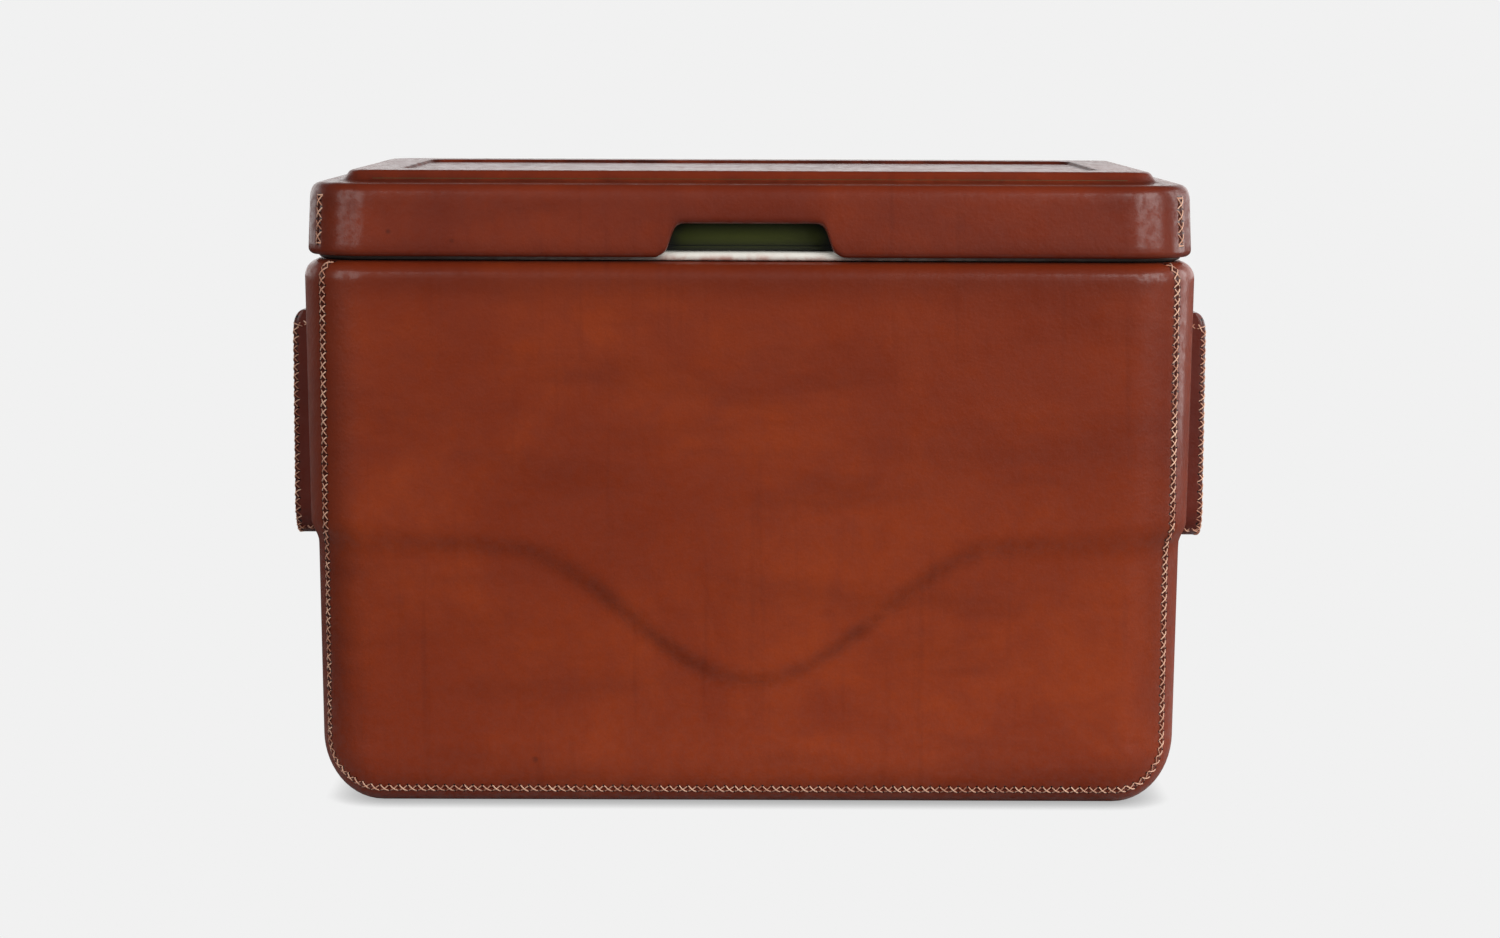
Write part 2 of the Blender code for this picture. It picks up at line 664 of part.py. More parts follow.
def leaf(name, centre, face_y, root, tip, barrels):
    """A plate that lies on a wall from its root beside the pin to its tip, with its knuckles."""
    near = hinge_axis_y - HINGE_KNUCKLE_RADIUS
    corners = [
        Vector((near, root)),
        Vector((near + HINGE_LEAF, root)),
        Vector((face_y(tip) + CLEARANCE + HINGE_LEAF, tip)),
        Vector((face_y(tip) + CLEARANCE, tip)),
    ]
    half = HINGE_WIDTH / 2
    plate = prism(name, corners, centre - half, centre + half, BRASS, "X")
    gap_share = CLEARANCE / HINGE_WIDTH
    for number, (low, high, carried) in enumerate(barrels):
        if carried:
            combine(plate, knuckle(f"{name}_knuckle_{number}", centre, low, high, BRASS), "UNION")
        else:
            room = knuckle(f"{name}_room_{number}", centre, low - gap_share, high + gap_share, BRASS)
            room.scale = (HINGE_KNUCKLE_ROOM_SHARE, HINGE_KNUCKLE_ROOM_SHARE, 1)
            combine(plate, room)
    bore = turned(f"{name}_bore", [(HINGE_PIN_RADIUS + CLEARANCE, -half - CUTTER_OVERRUN),
                                   (HINGE_PIN_RADIUS + CLEARANCE, half + CUTTER_OVERRUN)],
                  ROUND_SIDES, BRASS)
    combine(plate, place(bore, (centre, hinge_axis_y, HINGE_AXIS_HEIGHT), along_x))
    return plate


def body_back_at(level):
    return body_half_sizes(min(level, BODY_HEIGHT - SHOULDER_RADIUS), 1)[1]


def lid_back_at(level):
    return LID_HALF_DEPTH - LID_FLARE_SHARE * (level - LID_BOTTOM)


low_end, first_split, second_split, high_end = HINGE_KNUCKLE_SHARES
for side_name, side in (("left", -1), ("right", 1)):
    centre = side * (BODY_WIDTH / 2 - HINGE_SIDE_DISTANCE)
    lower = leaf(
        f"{side_name}_hinge_lower_leaf", centre, body_back_at,
        HINGE_AXIS_HEIGHT, HINGE_AXIS_HEIGHT - HINGE_LEAF_HEIGHT - SHOULDER_RADIUS,
        ((low_end, first_split, True), (second_split, high_end, True),
         (first_split, second_split, False)),
    )
    upper = leaf(
        f"{side_name}_hinge_upper_leaf", centre, lid_back_at,
        HINGE_AXIS_HEIGHT, HINGE_AXIS_HEIGHT + HINGE_LEAF_HEIGHT,
        ((first_split, second_split, True), (low_end, first_split, False),
         (second_split, high_end, False)),
    )
    lid_pieces.append(upper)
    pin_profile = [(HINGE_PIN_RADIUS, 0), (HINGE_PIN_RADIUS, HINGE_WIDTH)]
    pin = turned(f"{side_name}_hinge_pin", pin_profile, ROUND_SIDES, STEEL)
    place(pin, (centre - HINGE_WIDTH / 2, hinge_axis_y, HINGE_AXIS_HEIGHT), along_x)
    for holder, plate, face_y, level, cover, wall in (
        ("lower", lower, body_back_at,
         HINGE_AXIS_HEIGHT - HINGE_LEAF_HEIGHT - SHOULDER_RADIUS + HINGE_SCREW_INSET,
         back_leather_panel, body_shell),
        ("upper", upper, lid_back_at, HINGE_AXIS_HEIGHT + HINGE_LEAF_HEIGHT - HINGE_SCREW_INSET,
         lid_leather, lid_shell),
    ):
        for number, turn in ((1, -1), (2, 1)):
            name = f"{side_name}_{holder}_hinge_screw_{number}"
            spot = (
                centre + turn * HINGE_SCREW_SPACING / 2,
                face_y(level) + CLEARANCE + HINGE_LEAF,
                level,
            )
            length = HINGE_LEAF + CLEARANCE + SHELL_INSIDE
            fixed = place(screw(name, length, BRASS), spot, facing_back)
            hole = place(hole_cutter(name + "_hole", length + CLEARANCE), spot, facing_back)
            for clamped in (plate, cover, wall):
                combine(clamped, hole)
            if holder == "upper":
                lid_pieces.append(fixed)

hang_on(lid_pivot, *lid_pieces)

# Swing handles: core, leather wrap, bracket, rod and screws on each side

HANDLE_PIVOT_OUT = body_half_sizes(HANDLE_PIVOT_HEIGHT, 1)[0] + HANDLE_STANDOFF + HANDLE_INNER


def handle_section(along, up, outward, low, high, inset):
    """A ring across the bail at (along, up) in the side view, between two distances from the pivot."""
    half = HANDLE_WIDTH / 2 - inset
    radius = min(HANDLE_EDGE_RADIUS, (high - low) * HANDLE_EDGE_LIMIT_SHARE)
    corners = ((-half, low), (half, low), (half, high), (-half, high))
    outline = rounded_outline([(across, out, radius) for across, out in corners], 2)
    return [(p.y, along + outward[0] * p.x, up + outward[1] * p.x) for p in outline]


def handle_rings(inset):
    """Rings along the bail from the back arm's end round the grip to the front arm's end."""
    inner, outer = HANDLE_INNER - inset, HANDLE_OUTER - inset
    end = HANDLE_END - inset
    inner_start = HANDLE_END - HANDLE_INNER
    outer_start = HANDLE_END - HANDLE_END_LONG
    arm = HANDLE_SPAN / 2 - HANDLE_WIDTH / 2
    grip = HANDLE_BOTTOM + HANDLE_WIDTH / 2
    heights = [outer_start] + [inner_start + (end - inner_start) * s for s in HANDLE_END_SHARES]
    down = []
    for height in reversed(heights):
        past_inner = max(height - inner_start, 0) / inner
        past_outer = max(height - outer_start, 0) / (HANDLE_END_LONG - inset)
        low = -inner * math.sqrt(1 - past_inner**2)
        high = outer * math.sqrt(1 - past_outer**2)
        down.append((arm, HANDLE_PIVOT_HEIGHT + height, (1, 0), low, high))
    bend = HANDLE_BEND_RADIUS
    for step in range(CORNER_STEPS + 1):
        turn = math.radians(90) * step / CORNER_STEPS
        outward = (math.cos(turn), -math.sin(turn))
        along = arm - bend + bend * outward[0]
        up = grip + bend + bend * outward[1]
        down.append((along, up, outward, -inner, outer))
    back = [handle_section(*station, inset) for station in down]
    front = [
        handle_section(-along, up, (-outward[0], outward[1]), low, high, inset)
        for along, up, outward, low, high in reversed(down)
    ]
    return back + front


def to_side(rings, side):
    """Turns distances from the pivot into places on the left or right of the cooler."""
    return [[(side * (HANDLE_PIVOT_OUT + out), y, z) for out, y, z in ring] for ring in rings]


for side_name, side in (("left", -1), ("right", 1)):
    swing = pivot(f"{side_name}_handle_pivot", (side * HANDLE_PIVOT_OUT, 0, HANDLE_PIVOT_HEIGHT))
    core_inset = HANDLE_WRAP + CLEARANCE
    arm_inside = HANDLE_SPAN / 2 - HANDLE_WIDTH
    rod_half = HANDLE_SPAN / 2 - ROD_END_COVER - HANDLE_WRAP
    along_y = (math.radians(-90), 0, 0)
    axis_start = (side * HANDLE_PIVOT_OUT, -rod_half, HANDLE_PIVOT_HEIGHT)

    core = loft(f"{side_name}_handle_core", to_side(handle_rings(core_inset), side), OLIVE_PLASTIC)
    wrap = loft(f"{side_name}_handle_leather", to_side(handle_rings(0), side), COVER_LEATHER)
    hollow = loft(f"{side_name}_wrap_cutter", to_side(handle_rings(HANDLE_WRAP), side), STEEL)
    combine(wrap, hollow)
    rod = turned(f"{side_name}_handle_rod", [(ROD_RADIUS, 0), (ROD_RADIUS, 2 * rod_half)],
                 ROUND_SIDES, STEEL)
    place(rod, axis_start, along_y)
    rod_room = ROD_RADIUS + CLEARANCE
    reach = rod_half + CLEARANCE
    rod_bore = turned(f"{side_name}_rod_bore", [(rod_room, -reach), (rod_room, reach)],
                      ROUND_SIDES, STEEL)
    place(rod_bore, (side * HANDLE_PIVOT_OUT, 0, HANDLE_PIVOT_HEIGHT), along_y)
    combine(core, rod_bore)
    combine(wrap, rod_bore)
    hang_on(swing, core, wrap)

    bracket_half = arm_inside - BRACKET_SIDE_GAP
    bracket_top = HANDLE_PIVOT_HEIGHT + BRACKET_TOP
    bracket_bottom = HANDLE_PIVOT_HEIGHT - BRACKET_BOTTOM
    seat = body_half_sizes(bracket_top, 1)[0] + CLEARANCE
    face = HANDLE_PIVOT_OUT + BRACKET_REACH
    outline = rounded_outline(
        (
            (side * seat, bracket_bottom, 0),
            (side * face, bracket_bottom, BRACKET_EDGE_RADIUS / 2),
            (side * face, bracket_top, BRACKET_EDGE_RADIUS),
            (side * seat, bracket_top, 0),
        )
    )
    bracket = prism(f"{side_name}_handle_bracket", outline, -bracket_half, bracket_half,
                    OLIVE_PLASTIC)
    combine(bracket, rod_bore)
    for number, turn in ((1, -1), (2, 1)):
        name = f"{side_name}_bracket_screw_{number}"
        spot = (side * face, turn * BRACKET_SCREW_SPACING / 2,
                HANDLE_PIVOT_HEIGHT - BRACKET_SCREW_DROP)
        facing_out = (0, side * math.radians(90), 0)
        wall_inside = body_half_sizes(spot[2], 1)[0] - SHELL_INSIDE
        length = face - wall_inside
        place(screw(name, length, STEEL), spot, facing_out)
        hole = place(hole_cutter(name + "_hole", length + CLEARANCE), spot, facing_out)
        for clamped in (bracket, side_bottom_leather_band, body_shell):
            combine(clamped, hole)
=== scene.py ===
"""Looks of a chest cooler in a hand-stitched leather cover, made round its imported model.

Metres, +Z up. The front faces -Y, and the origin is on the floor under the middle.
"""

import collections
from math import acos, asin, atan2, ceil, cos, hypot, pi, radians, sin, sqrt

import bmesh
import bpy
from mathutils import Euler, Matrix, Vector


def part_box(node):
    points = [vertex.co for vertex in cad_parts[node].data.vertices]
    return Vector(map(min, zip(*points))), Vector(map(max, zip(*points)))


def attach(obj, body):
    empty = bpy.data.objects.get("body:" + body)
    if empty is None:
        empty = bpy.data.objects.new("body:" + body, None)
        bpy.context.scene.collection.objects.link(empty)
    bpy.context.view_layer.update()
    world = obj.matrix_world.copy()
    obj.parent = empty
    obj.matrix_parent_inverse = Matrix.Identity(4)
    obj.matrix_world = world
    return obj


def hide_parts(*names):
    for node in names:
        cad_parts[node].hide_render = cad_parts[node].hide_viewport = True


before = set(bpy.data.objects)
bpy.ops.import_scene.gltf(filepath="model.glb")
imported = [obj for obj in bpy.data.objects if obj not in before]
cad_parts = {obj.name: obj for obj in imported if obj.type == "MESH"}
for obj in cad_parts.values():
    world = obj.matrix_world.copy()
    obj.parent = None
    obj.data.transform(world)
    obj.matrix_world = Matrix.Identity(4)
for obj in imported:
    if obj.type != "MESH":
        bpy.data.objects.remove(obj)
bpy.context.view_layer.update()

# Cover hide
# Vegetable-tanned cow leather, wet-moulded over the hard shell, then dyed by hand in chestnut
# and waxed. The dye lies in soft clouds, the edges at each seam are burnished nearly black,
# and the waxed face has a low shine that breaks up over its fine grain.

STITCH_PITCH = 0.0054
STITCH_SPREAD = 0.0024
HOLE_RADIUS = 0.0006
HOLE_DEPTH = 0.0009
CUT_EDGE_TURNS = [radians(a) for a in (30, 60, 90)]


def linear(code):
    """An sRGB hex colour as a linear colour."""
    parts = [int(code[i:i + 2], 16) / 255 for i in (1, 3, 5)]
    return (*(p / 12.92 if p <= 0.04045 else ((p + 0.055) / 1.055) ** 2.4 for p in parts), 1)


def add(tree, kind, inputs=None, **settings):
    """Adds a node with its settings, and gives its inputs values or links."""
    node = tree.nodes.new(kind)
    for name, value in settings.items():
        setattr(node, name, value)
    for name, value in (inputs or {}).items():
        if isinstance(value, bpy.types.NodeSocket):
            tree.links.new(value, node.inputs[name])
        else:
            node.inputs[name].default_value = value
    return node


def new_material(name):
    """A material with an empty tree, the tree, and where a point lies on its piece."""
    made = bpy.data.materials.new(name)
    made.use_nodes = True
    tree = made.node_tree
    tree.nodes.clear()
    return made, tree, add(tree, "ShaderNodeTexCoord").outputs["Object"]


def hide(name, pale, middle, deep, edge, shine):
    """Dyed and waxed hide, with burnished edges and awl holes where `across` and `along` say.

    The eye gets cloudy dye, streaks and smears of the hand that wiped it on, a few dark nicks,
    seams that are nearly black but ease near the floor to paint in the light it throws up,
    painted shade along moulded steps and grooves, a hide darker towards the top, and a low
    shine that the grain and the creases break up.
    """
    made, tree, place = new_material(name)
    pale, middle, deep, edge, pit = (linear(c) for c in (pale, middle, deep, edge, "#120402"))
    level = add(tree, "ShaderNodeSeparateXYZ", {0: place}).outputs["Z"]
    across, along, painted_crease_shade = (
        add(tree, "ShaderNodeAttribute", attribute_name=mark).outputs["Fac"]
        for mark in ("across", "along", "painted_crease_shade"))
    drawn, wiped = (
        add(tree, "ShaderNodeMapping", {"Vector": place, "Scale": scale}).outputs[0]
        for scale in ((95, 20, 5), (6, 6, 27)))
    clouds, mottle, streaks, smears, ripples, creases, pores = (
        add(tree, "ShaderNodeTexNoise", {
            "Vector": where, "Scale": scale, "Detail": detail, "Roughness": roughness,
            "Distortion": distortion}).outputs[0]
        for where, scale, detail, roughness, distortion in (
            (place, 6.5, 5, 0.6, 0.8),
            (place, 34, 5, 0.62, 0.5),
            (drawn, 1, 3, 0.55, 0),
            (wiped, 1, 3, 0.55, 0),
            (place, 55, 3, 0.5, 0),
            (place, 210, 3, 0.6, 0),
            (place, 1500, 2, 0.5, 0),
        ))
    shifted = add(tree, "ShaderNodeTexNoise", {
        "Vector": place, "Scale": 60, "Detail": 2}).outputs["Color"]
    shifted = add(tree, "ShaderNodeVectorMath", {
        0: shifted, 1: (0.008, 0.008, 0.008), 2: place}, operation="MULTIPLY_ADD").outputs[0]
    nicks, grain = (
        add(tree, "ShaderNodeTexVoronoi", {
            "Vector": where, "Scale": scale, "Randomness": uneven}, feature=way).outputs["Distance"]
        for where, scale, uneven, way in (
            (shifted, 17, 1.0, "F1"), (place, 560, 0.9, "SMOOTH_F1")))

    # Each stitch's hole lies half a pitch from the middle of its cross, and a spread off the seam.
    run = add(tree, "ShaderNodeMath", {0: along, 1: 0.5}, operation="PINGPONG").outputs[0]
    run = add(tree, "ShaderNodeMath", {0: run, 1: STITCH_PITCH}, operation="MULTIPLY").outputs[0]
    off = add(tree, "ShaderNodeMath", {0: across, 1: STITCH_SPREAD}, operation="SUBTRACT").outputs[0]
    apart = add(tree, "ShaderNodeCombineXYZ", {0: run, 1: off}).outputs[0]
    apart = add(tree, "ShaderNodeVectorMath", {0: apart}, operation="LENGTH").outputs["Value"]
    ragged = add(tree, "ShaderNodeMath", {
        0: mottle, 1: 0.007, 2: across}, operation="MULTIPLY_ADD").outputs[0]

    # A pattern, the stretch of it that counts, and what the ends of that stretch become.
    (cloudy, mottled, streaked, smeared, darker_upward, nicked, near_seam, at_seam, hole, above_foot,
     uneven, rough, waxed) = (
        add(tree, "ShaderNodeMapRange", {
            "Value": value, "From Min": start, "From Max": end, "To Min": low, "To Max": high},
            interpolation_type=way).outputs[0]
        for value, start, end, low, high, way in (
            (clouds, 0.36, 0.64, 0, 1, "SMOOTHSTEP"),
            (mottle, 0.34, 0.70, 0, 0.75, "LINEAR"),
            (streaks, 0.60, 0.80, 0, 0.24, "LINEAR"),
            (smears, 0.50, 0.74, 0, 0.30, "LINEAR"),
            # Darker towards the top, by height alone.
            (level, 0.03, 0.32, 0, 0.24, "LINEAR"),
            (nicks, 0.010, 0.040, 0.45, 0, "LINEAR"),
            (ragged, 0.007, 0.030, 0.43, 0, "SMOOTHSTEP"),
            (across, 0.0016, 0.0032, 0.60, 0, "SMOOTHSTEP"),
            (apart, HOLE_RADIUS * 0.5, HOLE_RADIUS * 1.6, 1, 0, "SMOOTHSTEP"),
            # The seams' burnish eases towards the floor: painted light from the floor on the foot.
            (level, 0.006, 0.07, 0.35, 1, "LINEAR"),
            (mottle, 0.36, 0.64, 0.3, 1.2, "LINEAR"),
            (mottle, 0.3, 0.7, shine - 0.07, shine + 0.10, "LINEAR"),
            (creases, 0.40, 0.62, 0.60, 0.14, "LINEAR"),
        ))
    # Along moulded steps and grooves, painted shade darkens the hide, which is rough and bare of wax
    # there.
    bare = add(tree, "ShaderNodeMath", {0: 1.0, 1: painted_crease_shade}, operation="SUBTRACT").outputs[0]
    near_seam, at_seam, taken, waxed = (
        add(tree, "ShaderNodeMath", {0: share, 1: by}, operation="MULTIPLY").outputs[0]
        for share, by in (
            (near_seam, above_foot), (at_seam, above_foot), (painted_crease_shade, uneven), (waxed, bare)))
    at_seam, rough = (
        add(tree, "ShaderNodeMath", {0: share, 1: other}, operation="MAXIMUM").outputs[0]
        for share, other in ((at_seam, taken), (rough, painted_crease_shade)))

    dyed = middle
    for share, colour in (
        (cloudy, pale), (mottled, middle), (streaked, deep), (smeared, deep), (darker_upward, deep),
        (nicked, edge), (near_seam, deep), (at_seam, edge), (hole, pit),
    ):
        dyed = add(tree, "ShaderNodeMix", {
            0: share, 6: dyed, 7: colour}, data_type="RGBA").outputs[2]
    height = 0
    for form, depth in (
        (ripples, 0.00050), (creases, 0.00018), (grain, -0.00009), (pores, 0.00003),
        (hole, -HOLE_DEPTH),
    ):
        height = add(tree, "ShaderNodeMath", {
            0: form, 1: depth, 2: height}, operation="MULTIPLY_ADD").outputs[0]
    bump = add(tree, "ShaderNodeBump", {
        "Strength": 1.0, "Distance": 1.0, "Height": height}).outputs[0]
    shader = add(tree, "ShaderNodeBsdfPrincipled", {
        "Base Color": dyed, "Normal": bump, "Roughness": rough, "Coat Weight": waxed,
        "Coat Roughness": 0.19, "IOR": 1.45, "Specular IOR Level": 0.18}).outputs[0]
    add(tree, "ShaderNodeOutputMaterial", {"Surface": shader})
    return made


CHESTNUT_HIDE = hide("chestnut_hide", "#933a18", "#7f2e13", "#4e170a", "#260c06", 0.44)


def hide_piece(name, skin, middle, thickness, edge, gap, paint):
    """Gives a one-sided skin its thickness and rounded cut edges, as one closed solid."""
    bmesh.ops.recalc_face_normals(skin, faces=skin.faces)
    if sum((f.calc_center_median() - middle).dot(f.normal) * f.calc_area() for f in skin.faces) < 0:
        bmesh.ops.reverse_faces(skin, faces=skin.faces)
    skin.normal_update()
    points, faces = list(skin.verts), list(skin.faces)
    rim = [e for e in skin.edges if e.is_boundary]
    outward = {}
    for side in rim:
        first, second = side.verts
        along = (second.co - first.co).normalized()
        away = (first.co + second.co) / 2 - side.link_faces[0].calc_center_median()
        away = (away - along * away.dot(along)).normalized()
        for point in side.verts:
            outward[point] = outward.get(point, Vector()) + away
    inner = {p: skin.verts.new(p.co - p.normal * thickness, p) for p in points}
    rows = {}
    for point, away in outward.items():
        away = (away - point.normal * away.dot(point.normal)).normalized()
        inner[point].co -= away * gap / 2
        start = point.co - away * (edge + gap / 2)
        rows[point] = [point] + [
            skin.verts.new(
                start + away * edge * sin(a) - point.normal * edge * (1 - cos(a)), point)
            for a in CUT_EDGE_TURNS
        ] + [inner[point]]
        rows[point][0].co = start
    for face in faces:
        skin.faces.new([inner[p] for p in reversed(face.verts)])
    for side in rim:
        first, second = (rows[p] for p in side.verts)
        for step in range(len(first) - 1):
            skin.faces.new((first[step], second[step], second[step + 1], first[step + 1]))
    bmesh.ops.recalc_face_normals(skin, faces=skin.faces)
    return finished(name, skin, paint)


def in_scene(name, data):
    """A new object in the scene."""
    made = bpy.data.objects.new(name, data)
    bpy.context.scene.collection.objects.link(made)
    return made


def finished(name, bm, paint, sharp=50):
    """Turns a bmesh into a smooth shaded object of one material."""
    mesh = bpy.data.meshes.new(name)
    bm.to_mesh(mesh)
    bm.free()
    mesh.shade_smooth()
    mesh.set_sharp_from_angle(angle=radians(sharp))
    mesh.materials.append(paint)
    return in_scene(name, mesh)


def quilted(bm, rows, closed=False, names=("along", "across", "painted_crease_shade")):
    """Adds faces between rows of (point, mark, ...), and keeps the marks under their names."""
    floats = bm.verts.layers.float
    layers = [floats.get(name) or floats.new(name) for name in names]
    made = []
    for row in rows:
        line = []
        for point, *marks in row:
            vertex = bm.verts.new(point)
            for layer, mark in zip(layers, marks):
                vertex[layer] = mark
            line.append(vertex)
        made.append(line)
    count = len(rows[0])
    for lower, upper in zip(made, made[1:]):
        for i in range(count if closed else count - 1):
            j = (i + 1) % count
            bm.faces.new((lower[i], lower[j], upper[j], upper[i]))
    return made


# Body cover
# Three hides close the box: one panel in front, one behind, and a band that runs down one
# side, under the bottom and up the other. They are butted edge to edge, turned in over the
# shoulder under the rim, and moulded over a step that dips in a wave across the front.

band_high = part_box("side_bottom_leather_band")[1]
front_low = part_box("front_leather_panel")[0]
UP = Vector((0, 0, 1))
HIDE_THICKNESS = 0.0030
CUT_EDGE_ROUNDING = 0.0009
SEAM_GAP = 0.0003
FAR_FROM_SEAM = 0.060
BURNISHED_FROM = 0.0072
BODY_TOP = band_high.z
DRAFT_SHARE = 0.013
SHOULDER = 0.010
TUCKED_IN = 0.0117
WALL_TOP = BODY_TOP - SHOULDER
BODY_MIDDLE = Vector((0, 0, BODY_TOP / 2))
SAME_POINT = 0.00001
STEP_RISE = 0.0037
STEP_HEIGHT = 0.1495
STEP_LIFT = 0.0080
STEP_SPREAD = 0.0064
STEP_FADE = 0.9
STEP_SOFT = 0.5
STEP_DARK = 0.27
WAVE_DEPTH = 0.0745
WAVE_HALF_WIDTH = 0.143
WAVE_MIDDLE = 0.003
CORNER = 0.036
FRONT_FOOT = 0.022
FLOOR_HALF_WIDTH = band_high.x - STEP_RISE - DRAFT_SHARE * WALL_TOP
FLOOR_HALF_DEPTH = -front_low.y - STEP_RISE - DRAFT_SHARE * WALL_TOP
SEAM_CORNER = 0.0309
SEAM_LIFT = 0.0029
SEAM_ASIDE = 0.0032
CENTRE_X = FLOOR_HALF_WIDTH - CORNER
CENTRE_Z = 0.0379
SEAM_TURN = 0.0095
SEWN_TO = radians(74)
WALL_ROWS = 96
SHOULDER_ROWS = 8
PANEL_COLUMNS = 144
CORNER_FAN = 14
PANEL_SHARES = (0, 0.05, 0.1, 0.17, 0.26, 0.37, 0.5, 0.64, 0.8, 1)
BAND_SHARES = (0, 0.08, 0.17, 0.28, 0.4, 0.55, 0.7, 0.85, 1)
BAND_ROWS = 40
PANEL_X = [CENTRE_X * (2 * column / PANEL_COLUMNS - 1) for column in range(PANEL_COLUMNS + 1)]

# A place on the seam's way round: where the wall is flat, which way its edge lies, how far off
# that edge and the seam are, how it is rounded, and how far the shoulder is tucked and turned.
Place = collections.namedtuple("Place", "base out reach seam rounding tuck tilt")


def proud_share(x, z, way):
    """From 0 below the moulded step to 1 above it, on the front or the back."""
    across = min(abs(x - WAVE_MIDDLE) / WAVE_HALF_WIDTH, 1)
    dip = WAVE_DEPTH * (1 + cos(pi * across)) / 2
    aside = min(abs(x) / FLOOR_HALF_WIDTH, 1) ** 2
    line = STEP_HEIGHT + STEP_LIFT * aside - dip
    spread = STEP_SPREAD * (1 + STEP_FADE * aside + STEP_SOFT * sin(pi * across))
    if way > 0:
        line = STEP_HEIGHT + STEP_LIFT
        spread = STEP_SPREAD
    share = min(max((z - line) / (2 * spread) + 0.5, 0), 1)
    return share * share * (3 - 2 * share)


def step_shade(point, way):
    """How much shade is painted on the front's moulded step: most on the slopes of its wave."""
    if way > 0:
        return 0
    share = proud_share(point.x, point.z, way)
    across = min(abs(point.x - WAVE_MIDDLE) / WAVE_HALF_WIDTH, 1)
    return STEP_DARK * 4 * share * (1 - share) * sin(pi * across)


def half_width(z):
    z = min(z, WALL_TOP)
    return FLOOR_HALF_WIDTH + DRAFT_SHARE * z + STEP_RISE * proud_share(FLOOR_HALF_WIDTH, z, 1)


def half_depth(x, z, way):
    z = min(z, WALL_TOP)
    return FLOOR_HALF_DEPTH + DRAFT_SHARE * z + STEP_RISE * proud_share(x, z, way)


def seam_reach(side, z):
    """How far out of a corner's centre the seam runs. Low on the right it lies further in."""
    below_step = 1 - proud_share(FLOOR_HALF_WIDTH, z, 1)
    return SEAM_CORNER - (SEAM_ASIDE * below_step if side > 0 else 0)


def wall_places(side):
    """Places up one side of the seam, from the corner's centre to the tucked-in end."""
    places = []
    for row in range(WALL_ROWS + 1):
        z = CENTRE_Z + (WALL_TOP - CENTRE_Z) * row / WALL_ROWS
        places.append(Place((side * CENTRE_X, z), (side, 0), half_width(z) - CENTRE_X,
                            seam_reach(side, z), CORNER, 0, 0))
    for row in range(1, SHOULDER_ROWS + 2):
        tilt = radians(90) * min(row / SHOULDER_ROWS, 1)
        tuck = SHOULDER * (1 - cos(tilt)) if row <= SHOULDER_ROWS else TUCKED_IN
        z = WALL_TOP + SHOULDER * sin(tilt)
        places.append(Place((side * CENTRE_X, z), (side, 0), half_width(z) - CENTRE_X - tuck,
                            seam_reach(side, z) - SEAM_TURN * (row / SHOULDER_ROWS) ** 2,
                            CORNER - tuck, tuck, tilt))
    return places


def corner_places(side):
    """Places round a lower corner of the seam, from the bottom to the side."""
    side_reach = half_width(CENTRE_Z) - CENTRE_X
    low, high = SEAM_CORNER - SEAM_LIFT, seam_reach(side, CENTRE_Z)
    places = []
    for step in range(1, CORNER_FAN):
        turn = radians(90) * step / CORNER_FAN
        share = sin(turn) ** 2
        places.append(Place((side * CENTRE_X, CENTRE_Z), (side * sin(turn), -cos(turn)),
                            CENTRE_Z + (side_reach - CENTRE_Z) * share,
                            low * (1 - share) + high * share,
                            FRONT_FOOT + (CORNER - FRONT_FOOT) * share, 0, 0))
    return places


def seam_places():
    """Places all along the U of the seam, from the left top down, across and up the right."""
    bottom = [Place((x, CENTRE_Z), (0, -1), CENTRE_Z, SEAM_CORNER - SEAM_LIFT, FRONT_FOOT, 0, 0)
              for x in PANEL_X]
    left = corner_places(-1) + wall_places(-1)
    return left[::-1] + bottom + corner_places(1) + wall_places(1)


def cover_point(place, inward, way):
    """A point of the cover at a distance inside the edge of its outline."""
    x = place.base[0] + place.out[0] * (place.reach - inward)
    z = place.base[1] + place.out[1] * (place.reach - inward)
    flat = max(place.rounding - inward, 0)
    fallen = place.rounding - sqrt(place.rounding ** 2 - flat ** 2)
    return Vector((x, way * (half_depth(x, z, way) - place.tuck - fallen), z))


def seam_angle(place):
    """How far the cover has turned from facing the front where the seam runs."""
    return asin(1 - (place.reach - place.seam) / place.rounding)


def seam_path(way):
    """The seam as (point, outward) pairs."""
    path = []
    for place in ROUND_SEAM:
        turn = seam_angle(place)
        level = Vector((place.out[0] * sin(turn), way * cos(turn),
                        place.out[1] * sin(turn)))
        outward = level * cos(place.tilt) + UP * sin(place.tilt)
        path.append((cover_point(place, place.reach - place.seam, way), outward))
    return path


ROUND_SEAM = seam_places()


def run_lengths(path):
    """How far along a path each of its points lies."""
    lengths = [0.0]
    for (a, _), (b, _) in zip(path, path[1:]):
        lengths.append(lengths[-1] + (b - a).length)
    return lengths


sewn = [i for i, place in enumerate(ROUND_SEAM) if place.tilt <= SEWN_TO]
seam_runs = run_lengths(seam_path(-1))
seam_start = seam_runs[sewn[0]]
seam_count = round((seam_runs[sewn[-1]] - seam_start) / STITCH_PITCH)
seam_pitch = (seam_runs[sewn[-1]] - seam_start) / seam_count
seam_turns = [(run - seam_start) / seam_pitch for run in seam_runs]


def edge_distance(place):
    """How far a place lies below the burnished top edge, as if that were a seam."""
    return min(BURNISHED_FROM + max(WALL_TOP - place.base[1], 0), FAR_FROM_SEAM)


